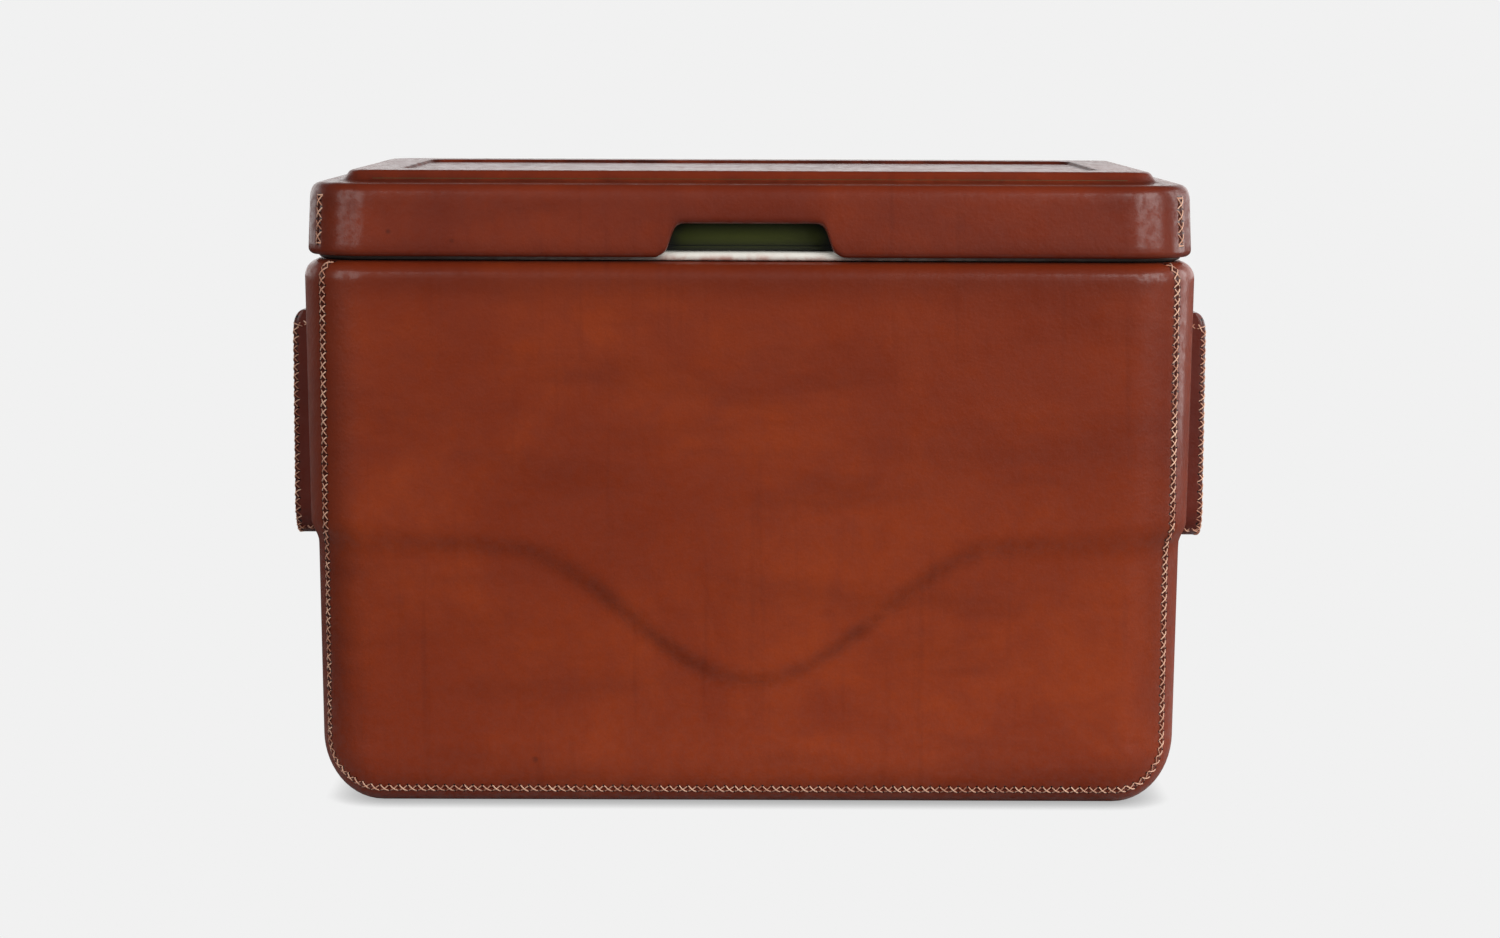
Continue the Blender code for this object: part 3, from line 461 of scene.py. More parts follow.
def panel(name, way):
    """The front or back hide: a border that follows the seam, and a field inside it."""
    bm = bmesh.new()
    border = []
    for share in PANEL_SHARES:
        row = []
        for place, turns in zip(ROUND_SEAM, seam_turns):
            inward = place.reach - place.seam * (1 - share)
            turned = seam_angle(place) - asin(max(1 - inward / place.rounding, 0))
            off = place.rounding * turned + max(inward - place.rounding, 0)
            point = cover_point(place, inward, way)
            row.append((point, turns, min(off, edge_distance(place)), step_shade(point, way)))
        border.append(row)
    quilted(bm, border)
    field = []
    for place in wall_places(1):
        row = []
        for x in PANEL_X:
            y = way * (half_depth(x, place.base[1], way) - place.tuck)
            point = Vector((x, y, place.base[1]))
            row.append((point, 0, edge_distance(place), step_shade(point, way)))
        field.append(row)
    quilted(bm, field)
    bmesh.ops.remove_doubles(bm, verts=bm.verts, dist=SAME_POINT)
    return hide_piece(name, bm, BODY_MIDDLE, HIDE_THICKNESS, CUT_EDGE_ROUNDING, SEAM_GAP,
                      CHESTNUT_HIDE)


def band(name):
    """The hide that runs down one side, under the bottom and up the other."""
    bm = bmesh.new()
    rows = []
    for place, turns in zip(ROUND_SEAM, seam_turns):
        start = seam_angle(place)
        front = []
        for share in BAND_SHARES:
            turn = start + (radians(90) - start) * share
            point = cover_point(place, place.rounding * (1 - sin(turn)), -1)
            front.append((point, turns, place.rounding * (turn - start)))
        reach, off = -front[-1][0].y, front[-1][2]
        straight = []
        for row in range(1, BAND_ROWS):
            y = reach * (2 * row / BAND_ROWS - 1)
            straight.append((Vector((front[-1][0].x, y, front[-1][0].z)), turns,
                             off + reach - abs(y)))
        back = [(Vector((p.x, -p.y, p.z)), run, far) for p, run, far in reversed(front)]
        rows.append(front + straight + back)
    quilted(bm, rows)
    return hide_piece(name, bm, BODY_MIDDLE, HIDE_THICKNESS, CUT_EDGE_ROUNDING, SEAM_GAP,
                      CHESTNUT_HIDE)


for piece, node in (
    (panel("front_hide_panel", -1), "front_leather_panel"),
    (panel("back_hide_panel", 1), "back_leather_panel"),
    (band("side_and_bottom_hide_band"), "side_bottom_leather_band"),
):
    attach(piece, "body")
    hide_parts(node)

# Cross stitches
# Waxed linen thread, sewn by hand with two needles, crosses over each butted seam from awl
# hole to awl hole. Once cream, it has taken up dye, so it is tan to pink, and no two
# crosses lie quite alike.

THREAD_RADIUS = 0.00040


def linen_thread(name):
    """Pale waxed thread, stained tan where dye got in. Its twist gives the eye fine beads."""
    made, tree, place = new_material(name)
    under, share = (
        add(tree, "ShaderNodeAttribute", attribute_name=mark).outputs["Fac"]
        for mark in ("under", "tint"))
    stain = add(tree, "ShaderNodeTexNoise", {
        "Vector": place, "Scale": 45, "Detail": 3}).outputs[0]
    for value, most, clamped in ((under, 0.28, False), (stain, 0.8, True)):
        share = add(tree, "ShaderNodeMath", {0: value, 1: most, 2: share},
                    operation="MULTIPLY_ADD", use_clamp=clamped).outputs[0]
    colour = add(tree, "ShaderNodeMix", {
        0: share, 6: linear("#f6c8aa"), 7: linear("#a65f42")}, data_type="RGBA").outputs[2]
    twist = add(tree, "ShaderNodeTexWave", {
        "Vector": place, "Scale": 700, "Distortion": 1.5}, bands_direction="DIAGONAL").outputs["Fac"]
    bump = add(tree, "ShaderNodeBump", {
        "Strength": 0.6, "Distance": 0.00015, "Height": twist}).outputs[0]
    shader = add(tree, "ShaderNodeBsdfPrincipled", {
        "Base Color": colour, "Normal": bump, "Roughness": 0.55, "Sheen Weight": 0.2}).outputs[0]
    add(tree, "ShaderNodeOutputMaterial", {"Surface": shader})
    return made


WAXED_THREAD = linen_thread("waxed_linen_thread")


def open_tree(name, sizes):
    """A Geometry Nodes tree with named inputs, and its input node."""
    tree = bpy.data.node_groups.new(name, "GeometryNodeTree")
    tree.interface.new_socket("Geometry", in_out="OUTPUT", socket_type="NodeSocketGeometry")
    given = [("Geometry", "Geometry")] + [(size, "Float") for size in sizes]
    for title, kind in given + [("Seed", "Int"), ("Material", "Material")]:
        tree.interface.new_socket(title, in_out="INPUT", socket_type="NodeSocket" + kind)
    return tree, add(tree, "NodeGroupInput").outputs


def shaded_round(tree, shape, sharpest):
    """Shades a mesh round, with sharp edges where its faces turn by more than an angle."""
    angle = add(tree, "GeometryNodeInputMeshEdgeAngle").outputs["Unsigned Angle"]
    sharp = add(tree, "FunctionNodeCompare", {0: angle, 1: radians(sharpest)},
                data_type="FLOAT", operation="GREATER_THAN").outputs[0]
    smooth = add(tree, "GeometryNodeSetShadeSmooth", {"Geometry": shape}).outputs[0]
    return add(tree, "GeometryNodeSetShadeSmooth", {
        "Geometry": smooth, "Selection": sharp, "Shade Smooth": False}, domain="EDGE").outputs[0]


def set_on_places(tree, given, shape, wobble, tint, sharpest):
    """Sets a shape on each place, upright on `out` and turned along `run`, and closes the tree."""
    out, run = (
        add(tree, "GeometryNodeInputNamedAttribute", {"Name": name},
            data_type="FLOAT_VECTOR").outputs[0]
        for name in ("out", "run"))
    askew, shade = (
        add(tree, "FunctionNodeRandomValue", {
            2: -most, 3: most, "Seed": given["Seed"]}, data_type="FLOAT").outputs[1]
        for most in (wobble, tint))
    turned = add(tree, "FunctionNodeAlignRotationToVector", {"Vector": out}, axis="Z").outputs[0]
    turned = add(tree, "FunctionNodeAlignRotationToVector", {"Rotation": turned, "Vector": run},
                 axis="Y", pivot_axis="Z").outputs[0]
    askew = add(tree, "ShaderNodeCombineXYZ", {2: askew}).outputs[0]
    askew = add(tree, "FunctionNodeEulerToRotation", {0: askew}).outputs[0]
    turned = add(tree, "FunctionNodeRotateRotation", {"Rotation": turned, "Rotate By": askew},
                 rotation_space="LOCAL").outputs[0]
    placed = add(tree, "GeometryNodeInstanceOnPoints", {
        "Points": given["Geometry"], "Instance": shape, "Rotation": turned}).outputs[0]
    placed = add(tree, "GeometryNodeStoreNamedAttribute", {
        "Geometry": placed, "Name": "tint", "Value": shade},
        data_type="FLOAT", domain="INSTANCE").outputs[0]
    solid = add(tree, "GeometryNodeRealizeInstances", {"Geometry": placed}).outputs[0]
    solid = add(tree, "GeometryNodeSetMaterial", {
        "Geometry": shaded_round(tree, solid, sharpest),
        "Material": given["Material"]}).outputs[0]
    add(tree, "NodeGroupOutput", {"Geometry": solid})
    return tree


def stitch_tree():
    """Two bowed threads that cross, set on every place of a seam. The lower one is darker."""
    tree, given = open_tree("cross_stitch", ("Pitch", "Spread", "Drop", "Rise", "Lap", "Thread"))
    near, far, left, low, thin = (
        add(tree, "ShaderNodeMath", {0: given[size], 1: share}, operation="MULTIPLY").outputs[0]
        for size, share in (
            ("Pitch", -0.47), ("Pitch", 0.47), ("Spread", -1.0), ("Drop", -1.0), ("Thread", 0.92)))
    high = add(tree, "ShaderNodeMath", {0: given["Rise"], 1: given["Lap"]}).outputs[0]
    cross = add(tree, "GeometryNodeJoinGeometry")
    for start, end, top, thickness, under in (
        (far, near, given["Rise"], thin, 1.0),
        (near, far, high, given["Thread"], 0.0),
    ):
        begin, bow, finish = (
            add(tree, "ShaderNodeCombineXYZ", dict(enumerate(point))).outputs[0]
            for point in ((left, start, low), (0, 0, top), (given["Spread"], end, low)))
        line = add(tree, "GeometryNodeCurveQuadraticBezier", {
            "Resolution": 6, "Start": begin, "Middle": bow, "End": finish}).outputs[0]
        circle = add(tree, "GeometryNodeCurvePrimitiveCircle", {
            "Resolution": 5, "Radius": thickness}).outputs[0]
        thread = add(tree, "GeometryNodeCurveToMesh", {
            "Curve": line, "Profile Curve": circle, "Fill Caps": True}).outputs[0]
        thread = add(tree, "GeometryNodeStoreNamedAttribute", {
            "Geometry": thread, "Name": "under", "Value": under}, data_type="FLOAT").outputs[0]
        tree.links.new(thread, cross.inputs[0])
    return set_on_places(tree, given, cross.outputs[0], wobble=0.09, tint=0.3, sharpest=80)


CROSS_STITCH = stitch_tree()


def grown(name, places, tree, body, slot, **values):
    """Runs a tree on (point, outward, along) places, and keeps the plain mesh that it makes."""
    mesh = bpy.data.meshes.new(name)
    mesh.from_pydata([place[0] for place in places], [], [])
    for number, layer in ((1, "out"), (2, "run")):
        data = mesh.attributes.new(layer, "FLOAT_VECTOR", "POINT").data
        for item, place in zip(data, places):
            item.vector = place[number]
    holder = in_scene(name + "_places", mesh)
    modifier = holder.modifiers.new("grown", "NODES")
    modifier.node_group = tree
    for socket in tree.interface.items_tree:
        if socket.in_out == "INPUT" and socket.name in values:
            modifier[socket.identifier] = values[socket.name]
    bpy.context.view_layer.update()
    evaluated = holder.evaluated_get(bpy.context.evaluated_depsgraph_get())
    made = in_scene(name, bpy.data.meshes.new_from_object(evaluated))
    bpy.data.objects.remove(holder)
    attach(made, body)
    return made


def even_places(path, count):
    """The middles of a number of equal stretches of a path, as (point, outward, along)."""
    lengths = run_lengths(path)
    places = []
    segment = 0
    for number in range(count):
        wanted = lengths[-1] * (number + 0.5) / count
        while lengths[segment + 1] < wanted:
            segment += 1
        (a, out_a), (b, out_b) = path[segment], path[segment + 1]
        share = (wanted - lengths[segment]) / (lengths[segment + 1] - lengths[segment])
        places.append((a.lerp(b, share), out_a.lerp(out_b, share).normalized(), (b - a).normalized()))
    return places


def sew(name, places, body, seed, **sizes):
    """Sews crosses of waxed thread on places."""
    grown(name, places, CROSS_STITCH, body, "waxed_thread", Seed=seed, Thread=THREAD_RADIUS,
          Material=WAXED_THREAD, **sizes)


for name, way in (("front_seam_stitches", -1), ("back_seam_stitches", 1)):
    sewn_path = seam_path(way)[sewn[0]:sewn[-1] + 1]
    sew(name, even_places(sewn_path, seam_count), "body", 11 + way, Pitch=seam_pitch,
        Spread=STITCH_SPREAD, Drop=0.0006, Rise=0.0013, Lap=0.0008)

# Lid cover
# One hide, moulded over the lid: a shallow field inside a raised border, a slope down to the
# shoulder, and a skirt whose foot is turned in. The slack at each corner is cut out and sewn
# shut, and the finger recess is cut in the middle of the front.

lid_low, lid_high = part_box("lid_leather")
LID_HALF_WIDTH, LID_HALF_DEPTH = lid_high.x, lid_high.y
LID_BOTTOM, LID_TOP = lid_low.z, lid_high.z
LID_SKIRT = 0.0405
LID_SHOULDER = LID_BOTTOM + LID_SKIRT
LID_FLARE_SHARE = 0.036
LID_HIDE = 0.0018
LID_EDGE_ROUNDING = 0.0006
LID_FOOT_ROUNDING = 0.0038
LID_DROOP = 0.0014
LID_TURN_IN = 0.0055
LID_SEAM_TURN = radians(51)
LID_SEAM_LOW = LID_BOTTOM + 0.0055
LID_SEAM_HIGH = LID_SHOULDER - 0.0078
LID_STITCHES = 4
LID_STITCH_SPREAD = 0.0028
LID_BAR_PITCH = 0.0009
LID_GROOVE = 0.0005
ON_LID_SEAM = 0.0001
PANEL_FOOT = 0.0185
PANEL_EDGE = 0.0230
BORDER_END = 0.0500
FIELD_EDGE = 0.0516
FIELD_DROP = 0.0018
BAND_RISE = 0.0002
LID_SLUMP = 0.0011
FIELD_EDGE_SHADE = 0.85
FIELD_EDGE_SHADE_ASIDE = 0.0008
FIELD_EDGE_SHADE_FADE = 400
GROOVE_DARK = 0.45
GROOVE_FADE = 110
SEAM_END_FADE = 1.5
LID_FOOT_FADE = 1.4
CORNER_TURNS = (0, 8, 16, 24, 32, 39, 45, 49.4, 51, 52.6, 58, 66, 74, 82)
NOTCH_CORNERS = ((0.0, 0.0177), (0.042, 0.0177), (0.0475, 0.00275), (0.053, 0.0), (0.060, 0.0))
NOTCH_TRIMS = (0.0048, 0.0026, 0.0014)
QUARTER_TURNS = [radians(a) for a in range(0, 91, 15)]
FIELD_SHARES = (0.98, 0.9, 0.8, 0.7, 0.6, 0.5)
SKIRT_ROWS = 8
LID_FRONT_COLUMNS = 26
LID_SIDE_COLUMNS = 40
LID_BACK_COLUMNS = 72
LID_CORNER = 0.036

LID_HIDE_DYED = hide("dark_chestnut_hide", "#883418", "#742913", "#46140a", "#220b06", 0.44)


def filleted(corners, trims, steps):
    """Points through a row of corners, each corner but the ends turned by a smooth arc."""
    points = [Vector(corners[0])]
    for before, here, after, trim in zip(corners, corners[1:], corners[2:], trims):
        here = Vector(here)
        start = here + (Vector(before) - here).normalized() * trim
        end = here + (Vector(after) - here).normalized() * trim
        for step in range(steps + 1):
            share = step / steps
            points.append(start.lerp(here, share).lerp(here.lerp(end, share), share))
    points.append(Vector(corners[-1]))
    return points


def stretched(points, longest, near):
    """Adds points to long spans: one near each end, and even ones between."""
    filled = [points[0]]
    for a, b in zip(points, points[1:]):
        length = (b - a).length
        if length > longest:
            count = ceil((length - 2 * near) / longest)
            filled += [a.lerp(b, (near + (length - 2 * near) * k / count) / length)
                       for k in range(count + 1)]
        filled.append(b)
    return filled


def ring_point(column, half_x, half_y, radius, z):
    """A point of a level rounded rectangle, on a column given as shares of its flats and a turn."""
    share_x, share_y, turn = column
    return Vector((share_x * (half_x - radius) + radius * cos(turn),
                   share_y * (half_y - radius) + radius * sin(turn), z))


def ring_columns(front_shares, side_count, back_count, turns):
    """Columns round a rounded rectangle, from the middle of its front round by the right."""
    quarter = [radians(t) for t in turns]
    right = [s for s in front_shares if s > 0]
    columns = [(s, -1, -pi / 2) for s in right if s < 1]
    columns += [(1, -1, t - pi / 2) for t in quarter]
    columns += [(1, 2 * k / side_count - 1, 0) for k in range(side_count)]
    columns += [(1, 1, pi / 2 - t) for t in reversed(quarter)]
    columns += [(1 - 2 * k / back_count, 1, pi / 2) for k in range(1, back_count)]
    columns += [(-1, 1, pi / 2 + t) for t in quarter]
    columns += [(-1, 1 - 2 * k / side_count, pi) for k in range(side_count)]
    columns += [(-1, -1, -pi / 2 - t) for t in reversed(quarter)]
    columns += [(-s, -1, -pi / 2) for s in reversed(right) if s < 1]
    return columns + [(0, -1, -pi / 2)]


lid_flat = LID_HALF_WIDTH - LID_CORNER
notch_line = stretched(filleted(NOTCH_CORNERS, NOTCH_TRIMS, steps=4), longest=0.005, near=0.001)
notch_shares = [p.x / lid_flat for p in notch_line]
plain_shares = [notch_shares[-1] + (1 - notch_shares[-1]) * k / LID_FRONT_COLUMNS
                for k in range(1, LID_FRONT_COLUMNS + 1)]
lid_columns = ring_columns(notch_shares + plain_shares, LID_SIDE_COLUMNS, LID_BACK_COLUMNS,
                           CORNER_TURNS)


def notch_height(column):
    """How far the skirt's foot is cut up at a column."""
    x = abs(column[0]) * lid_flat
    if column[1] != -1 or column[2] != -pi / 2 or x >= notch_line[-1].x:
        return 0
    for a, b in zip(notch_line, notch_line[1:]):
        if a.x <= x <= b.x and b.x > a.x:
            return a.y + (b.y - a.y) * (x - a.x) / (b.x - a.x)
    return 0


def foot_height(column):
    """Where the skirt ends at a column. It droops a little, but not over the finger recess."""
    cut = notch_height(column)
    return LID_BOTTOM + cut - LID_DROOP * (1 - min(cut / NOTCH_CORNERS[0][1], 1))


def off_lid_seam(column):
    """How far a column stands from the seam at its corner."""
    if abs(column[0]) != 1 or abs(column[1]) != 1:
        return FAR_FROM_SEAM
    turn = acos(min(abs(sin(column[2])), 1))
    return abs(turn - LID_SEAM_TURN) * LID_CORNER


def lid_point(column, inset, z, radius):
    """A point of the lid, how far up its seam it lies, how far off a dark edge, and how much painted
    shade it gets.
    """
    narrowed = LID_FLARE_SHARE * max(min(z, LID_SHOULDER) - LID_BOTTOM, 0)
    point = ring_point(column, LID_HALF_WIDTH - narrowed - inset,
                       LID_HALF_DEPTH - narrowed - inset, radius, z)
    off = off_lid_seam(column)
    beyond = max(LID_SEAM_LOW - z, z - LID_SEAM_HIGH, 0)
    if off < ON_LID_SEAM and beyond == 0:
        point -= Vector((point.x, point.y, 0)).normalized() * LID_GROOVE
    turns = (z - LID_SEAM_LOW) / (LID_SEAM_HIGH - LID_SEAM_LOW) * LID_STITCHES
    above_foot = max(z - foot_height(column), 0)
    off = min(hypot(off, beyond * SEAM_END_FADE), BURNISHED_FROM + above_foot * LID_FOOT_FADE)
    # Painted shade darkens the line where the field drops, and the groove at the panel's foot.
    painted_crease_shade = max(FIELD_EDGE_SHADE - abs(inset - FIELD_EDGE + FIELD_EDGE_SHADE_ASIDE) * FIELD_EDGE_SHADE_FADE,
                 GROOVE_DARK - abs(inset - PANEL_FOOT) * GROOVE_FADE, 0)
    return point, turns, off, painted_crease_shade


# From the field over the border and down to the skirt: each corner's distance inside the lid's
# outline, its height, and how round the outline is there.
lid_profile = filleted(
    [
        (FIELD_EDGE + 0.012, LID_TOP - FIELD_DROP, 0.006),
        (FIELD_EDGE, LID_TOP - FIELD_DROP, 0.012),
        (BORDER_END, LID_TOP, 0.015),
        (PANEL_EDGE, LID_TOP, 0.0135),
        (PANEL_FOOT, LID_SHOULDER + BAND_RISE, 0.018),
        (0.0, LID_SHOULDER - LID_SLUMP, LID_CORNER),
        (0.0, LID_SHOULDER - 0.012, LID_CORNER),
    ],
    trims=(0.0010, 0.0010, 0.0026, 0.0024, 0.0088),
    steps=7,
)
lid_profile = stretched(lid_profile, longest=0.006, near=0.0015)
field_depth = LID_HALF_DEPTH - LID_FLARE_SHARE * LID_SKIRT
field_rows = [Vector((field_depth * s, LID_TOP - FIELD_DROP, field_depth * (1 - s) * 0.5))
              for s in FIELD_SHARES]
lid_rows = [[lid_point(column, *place) for column in lid_columns]
            for place in field_rows + lid_profile]
skirt_top = lid_profile[-1].y
for row in range(1, SKIRT_ROWS + 1):
    line = []
    for column in lid_columns:
        foot = foot_height(column) + LID_FOOT_ROUNDING
        line.append(lid_point(column, 0, skirt_top + (foot - skirt_top) * row / SKIRT_ROWS,
                              LID_CORNER))
    lid_rows.append(line)
for turn in QUARTER_TURNS[1:]:
    tuck = LID_FOOT_ROUNDING * (1 - cos(turn))
    lift = LID_FOOT_ROUNDING * (1 - sin(turn))
    lid_rows.append([
        lid_point(column, tuck, foot_height(column) + lift, LID_CORNER - tuck)
        for column in lid_columns])
lid_rows.append([
    lid_point(column, LID_TURN_IN, foot_height(column), LID_CORNER - LID_TURN_IN)
    for column in lid_columns])

lid_skin = bmesh.new()
lid_lines = quilted(lid_skin, lid_rows, closed=True)
lid_skin.faces.new(lid_lines[0])
lid_hide = hide_piece("lid_hide", lid_skin, Vector((0, 0, LID_BOTTOM)), LID_HIDE,
                      LID_EDGE_ROUNDING, 0, LID_HIDE_DYED)
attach(lid_hide, "lid")
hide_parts("lid_leather")

# Each corner seam has its crosses, and a bar of two nearly level threads at each end.
lid_pitch = (LID_SEAM_HIGH - LID_SEAM_LOW) / LID_STITCHES
lid_seams = []
lid_bars = []
for side_x, side_y in ((-1, -1), (1, -1), (1, 1), (-1, 1)):
    turn = atan2(side_y * cos(LID_SEAM_TURN), side_x * sin(LID_SEAM_TURN))
    outward = Vector((cos(turn), sin(turn), 0))
    path = []
    for z in (LID_SEAM_LOW, LID_SEAM_HIGH):
        point = lid_point((side_x, side_y, turn), 0, z, LID_CORNER)[0] + outward * LID_GROOVE
        path.append((point, outward))
        lid_bars.append((point, outward, UP))
    lid_seams += even_places(path, LID_STITCHES)
sew("lid_seam_bars", lid_bars, "lid", 6, Pitch=LID_BAR_PITCH, Spread=LID_STITCH_SPREAD,
    Drop=0.0006, Rise=0.0014, Lap=0.0008)
sew("lid_corner_stitches", lid_seams, "lid", 5, Pitch=lid_pitch, Spread=LID_STITCH_SPREAD,
    Drop=0.0006, Rise=0.0014, Lap=0.0009)

# Handle sleeves
# Each bail is a plastic core in a sleeve of darker hide, moulded wet and sewn shut along both
# rims of its outer face, with a short cross seam at the foot of each arm's rounded top and at
# each bend.

SIDES = (("left", -1), ("right", 1))
sleeve_low, sleeve_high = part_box("right_handle_leather")
BAIL_WIDTH = 0.0140
BAIL_INNER = 0.0060
BAIL_EDGE = 0.0030
BAIL_BEND = 0.0130
BAIL_END = 0.0075
BAIL_END_LONG = 0.0100
SLEEVE_WRAP = 0.0020
BAIL_OUTER = sleeve_high.x - sleeve_low.x - BAIL_INNER
BAIL_OUT = sleeve_low.x + BAIL_INNER
PIVOT_HEIGHT = sleeve_high.z - BAIL_END
ARM_Y = sleeve_high.y - BAIL_WIDTH / 2
GRIP_HEIGHT = sleeve_low.z + BAIL_WIDTH / 2
END_TURNS = [radians(a) for a in (86, 78, 68, 56, 42, 28, 14, 0)]
ARM_ROWS = 20
BEND_ROWS = 12
GRIP_ROWS = 16
EDGE_STEPS = 5
FLANK_SHARES = (-0.6, -0.2, 0.2, 0.6)
THIN_EDGE_SHARE = 0.45
SEAM_IN_EDGE = 0.3
CROSS_SEAM_IN_EDGE = 0.6
NEARLY_FULL = 0.99
TOP_SEAM_DROP = 0.0078
TOP_SEAM_SAG = 0.0022
BEND_SEAM_TURN = radians(52)
CROSS_SEAM_STEPS = 6
CROSS_SEAM_STITCHES = 2
SLEEVE_PITCH = 0.0054
SLEEVE_SPREAD = 0.0021

DARK_HIDE = hide("dark_hide", "#7a3222", "#6c2a1d", "#552017", "#34120c", 0.44)

# A place on the bail: its middle in Y and Z, the way out of the bail there, and how far the
# section reaches in and out from the pivot.
Station = collections.namedtuple("Station", "middle outward low high")


def bail_stations(inset):
    """Stations from the back arm's rounded top, round the grip and up to the front arm's."""
    inner, outer = BAIL_INNER - inset, BAIL_OUTER - inset
    inner_start = BAIL_END - BAIL_INNER
    outer_start = BAIL_END - BAIL_END_LONG
    down = []
    for turn in END_TURNS:
        height = outer_start + (BAIL_END_LONG - inset) * sin(turn)
        past_inner = min(max(height - inner_start, 0) / inner, 1)
        down.append(Station((ARM_Y, PIVOT_HEIGHT + height), (1, 0),
                            -inner * sqrt(1 - past_inner ** 2), outer * cos(turn)))
    arm_top = PIVOT_HEIGHT + outer_start
    bend_height = GRIP_HEIGHT + BAIL_BEND
    for row in range(1, ARM_ROWS):
        z = arm_top + (bend_height - arm_top) * row / ARM_ROWS
        down.append(Station((ARM_Y, z), (1, 0), -inner, outer))
    for row in range(BEND_ROWS + 1):
        turn = radians(90) * row / BEND_ROWS
        way = (cos(turn), -sin(turn))
        middle = (ARM_Y - BAIL_BEND * (1 - way[0]), bend_height + BAIL_BEND * way[1])
        down.append(Station(middle, way, -inner, outer))
    reach = ARM_Y - BAIL_BEND
    grip = [Station((reach * (1 - 2 * row / GRIP_ROWS), GRIP_HEIGHT), (0, -1), -inner, outer)
            for row in range(1, GRIP_ROWS)]
    up = [Station((-s.middle[0], s.middle[1]), (-s.outward[0], s.outward[1]), s.low, s.high)
          for s in reversed(down)]
    return down + grip + up


def section(station, inset):
    """Points (across, out) round the bail's section, with rounded edges."""
    half = BAIL_WIDTH / 2 - inset
    edge = min(BAIL_EDGE, (station.high - station.low) * THIN_EDGE_SHARE)
    middle = (station.low + station.high) / 2
    reach = (station.high - station.low) / 2 - edge
    points = []
    for corner, (side, way) in enumerate(((1, 1), (-1, 1), (-1, -1), (1, -1))):
        for step in range(EDGE_STEPS + 1):
            turn = radians(90) * (corner + step / EDGE_STEPS)
            points.append((side * (half - edge) + edge * cos(turn),
                           middle + way * reach + edge * sin(turn)))
        for share in FLANK_SHARES:
            if corner % 2 == 0:
                points.append((-side * share * (half - edge), middle + way * (reach + edge)))
            else:
                points.append((side * half, middle - way * share * reach))
    return points


def on_bail(station, across, out, side):
    """A point of the bail as a place on the left or right of the cooler."""
    y, z = station.middle
    return Vector((side * (BAIL_OUT + out), y + station.outward[0] * across,
                   z + station.outward[1] * across))


def rim_seam(stations, rim, side):
    """The seam along the outer or inner rim of the bail's outer face."""
    path = []
    slant = cos(radians(45))
    in_by = BAIL_EDGE * (1 - slant)
    for station in stations:
        point = on_bail(station, rim * (BAIL_WIDTH / 2 - in_by), station.high - in_by, side)
        outward = Vector((side * slant, rim * station.outward[0] * slant,
                          rim * station.outward[1] * slant))
        path.append((point, outward))
    return path


def cross_seam(station, sag, side):
    """A short seam over the flank of an arm, that sags towards the bail's outer face."""
    path = []
    out = Vector((0, station.outward[0], station.outward[1]))
    for step in range(CROSS_SEAM_STEPS + 1):
        share = step / CROSS_SEAM_STEPS
        reach = station.low + (station.high - station.low - BAIL_EDGE) * share
        point = on_bail(station, BAIL_WIDTH / 2, reach + BAIL_EDGE * CROSS_SEAM_IN_EDGE, side)
        path.append((point - UP * sag * share ** 2, out))
    return path


bail = bail_stations(0)
full = [s for s in bail if s.high >= BAIL_OUTER * NEARLY_FULL and s.middle[1] <= PIVOT_HEIGHT]
bail_runs = run_lengths([(on_bail(s, 0, 0, 1), None) for s in bail])
top_seam_height = sleeve_high.z - TOP_SEAM_DROP
for side_name, side in SIDES:
    sleeve = bmesh.new()
    for inset, turned_in in ((0, False), (SLEEVE_WRAP, True)):
        rows = []
        for station, run in zip(bail_stations(inset), bail_runs):
            seam_out = station.high - BAIL_EDGE * SEAM_IN_EDGE
            seam_across = BAIL_WIDTH / 2 - BAIL_EDGE * SEAM_IN_EDGE
            row = []
            for across, out in section(station, inset):
                off = hypot(seam_across - abs(across), seam_out - out)
                off += BAIL_OUTER - inset - station.high
                row.append((on_bail(station, across, out, side), run / SLEEVE_PITCH,
                            off * STITCH_SPREAD / SLEEVE_SPREAD))
            rows.append(row)
        before = set(sleeve.faces)
        lines = quilted(sleeve, rows, closed=True)
        sleeve.faces.new(lines[0])
        sleeve.faces.new(lines[-1])
        made = [f for f in sleeve.faces if f not in before]
        bmesh.ops.recalc_face_normals(sleeve, faces=made)
        if turned_in:
            bmesh.ops.reverse_faces(sleeve, faces=made)
    piece = finished(f"{side_name}_handle_sleeve", sleeve, DARK_HIDE)
    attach(piece, f"{side_name}_handle")
    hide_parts(f"{side_name}_handle_leather")
    places = []
    for rim in (1, -1):
        path = rim_seam(full, rim, side)
        places += even_places(path, round(run_lengths(path)[-1] / SLEEVE_PITCH))
    for end in (1, -1):
        top = Station((end * ARM_Y, top_seam_height), (end, 0), -BAIL_INNER, BAIL_OUTER)
        way = (end * cos(BEND_SEAM_TURN), -sin(BEND_SEAM_TURN))
        bend = Station((end * (ARM_Y - BAIL_BEND) + BAIL_BEND * way[0],
                        GRIP_HEIGHT + BAIL_BEND * (1 + way[1])), way, -BAIL_INNER, BAIL_OUTER)
        for station, sag in ((top, TOP_SEAM_SAG), (bend, 0)):
            places += even_places(cross_seam(station, sag, side), CROSS_SEAM_STITCHES)
    sew(f"{side_name}_handle_stitches", places, f"{side_name}_handle", 21 + side,
        Pitch=SLEEVE_PITCH, Spread=SLEEVE_SPREAD, Drop=0.0015, Rise=0.0021, Lap=0.0008)
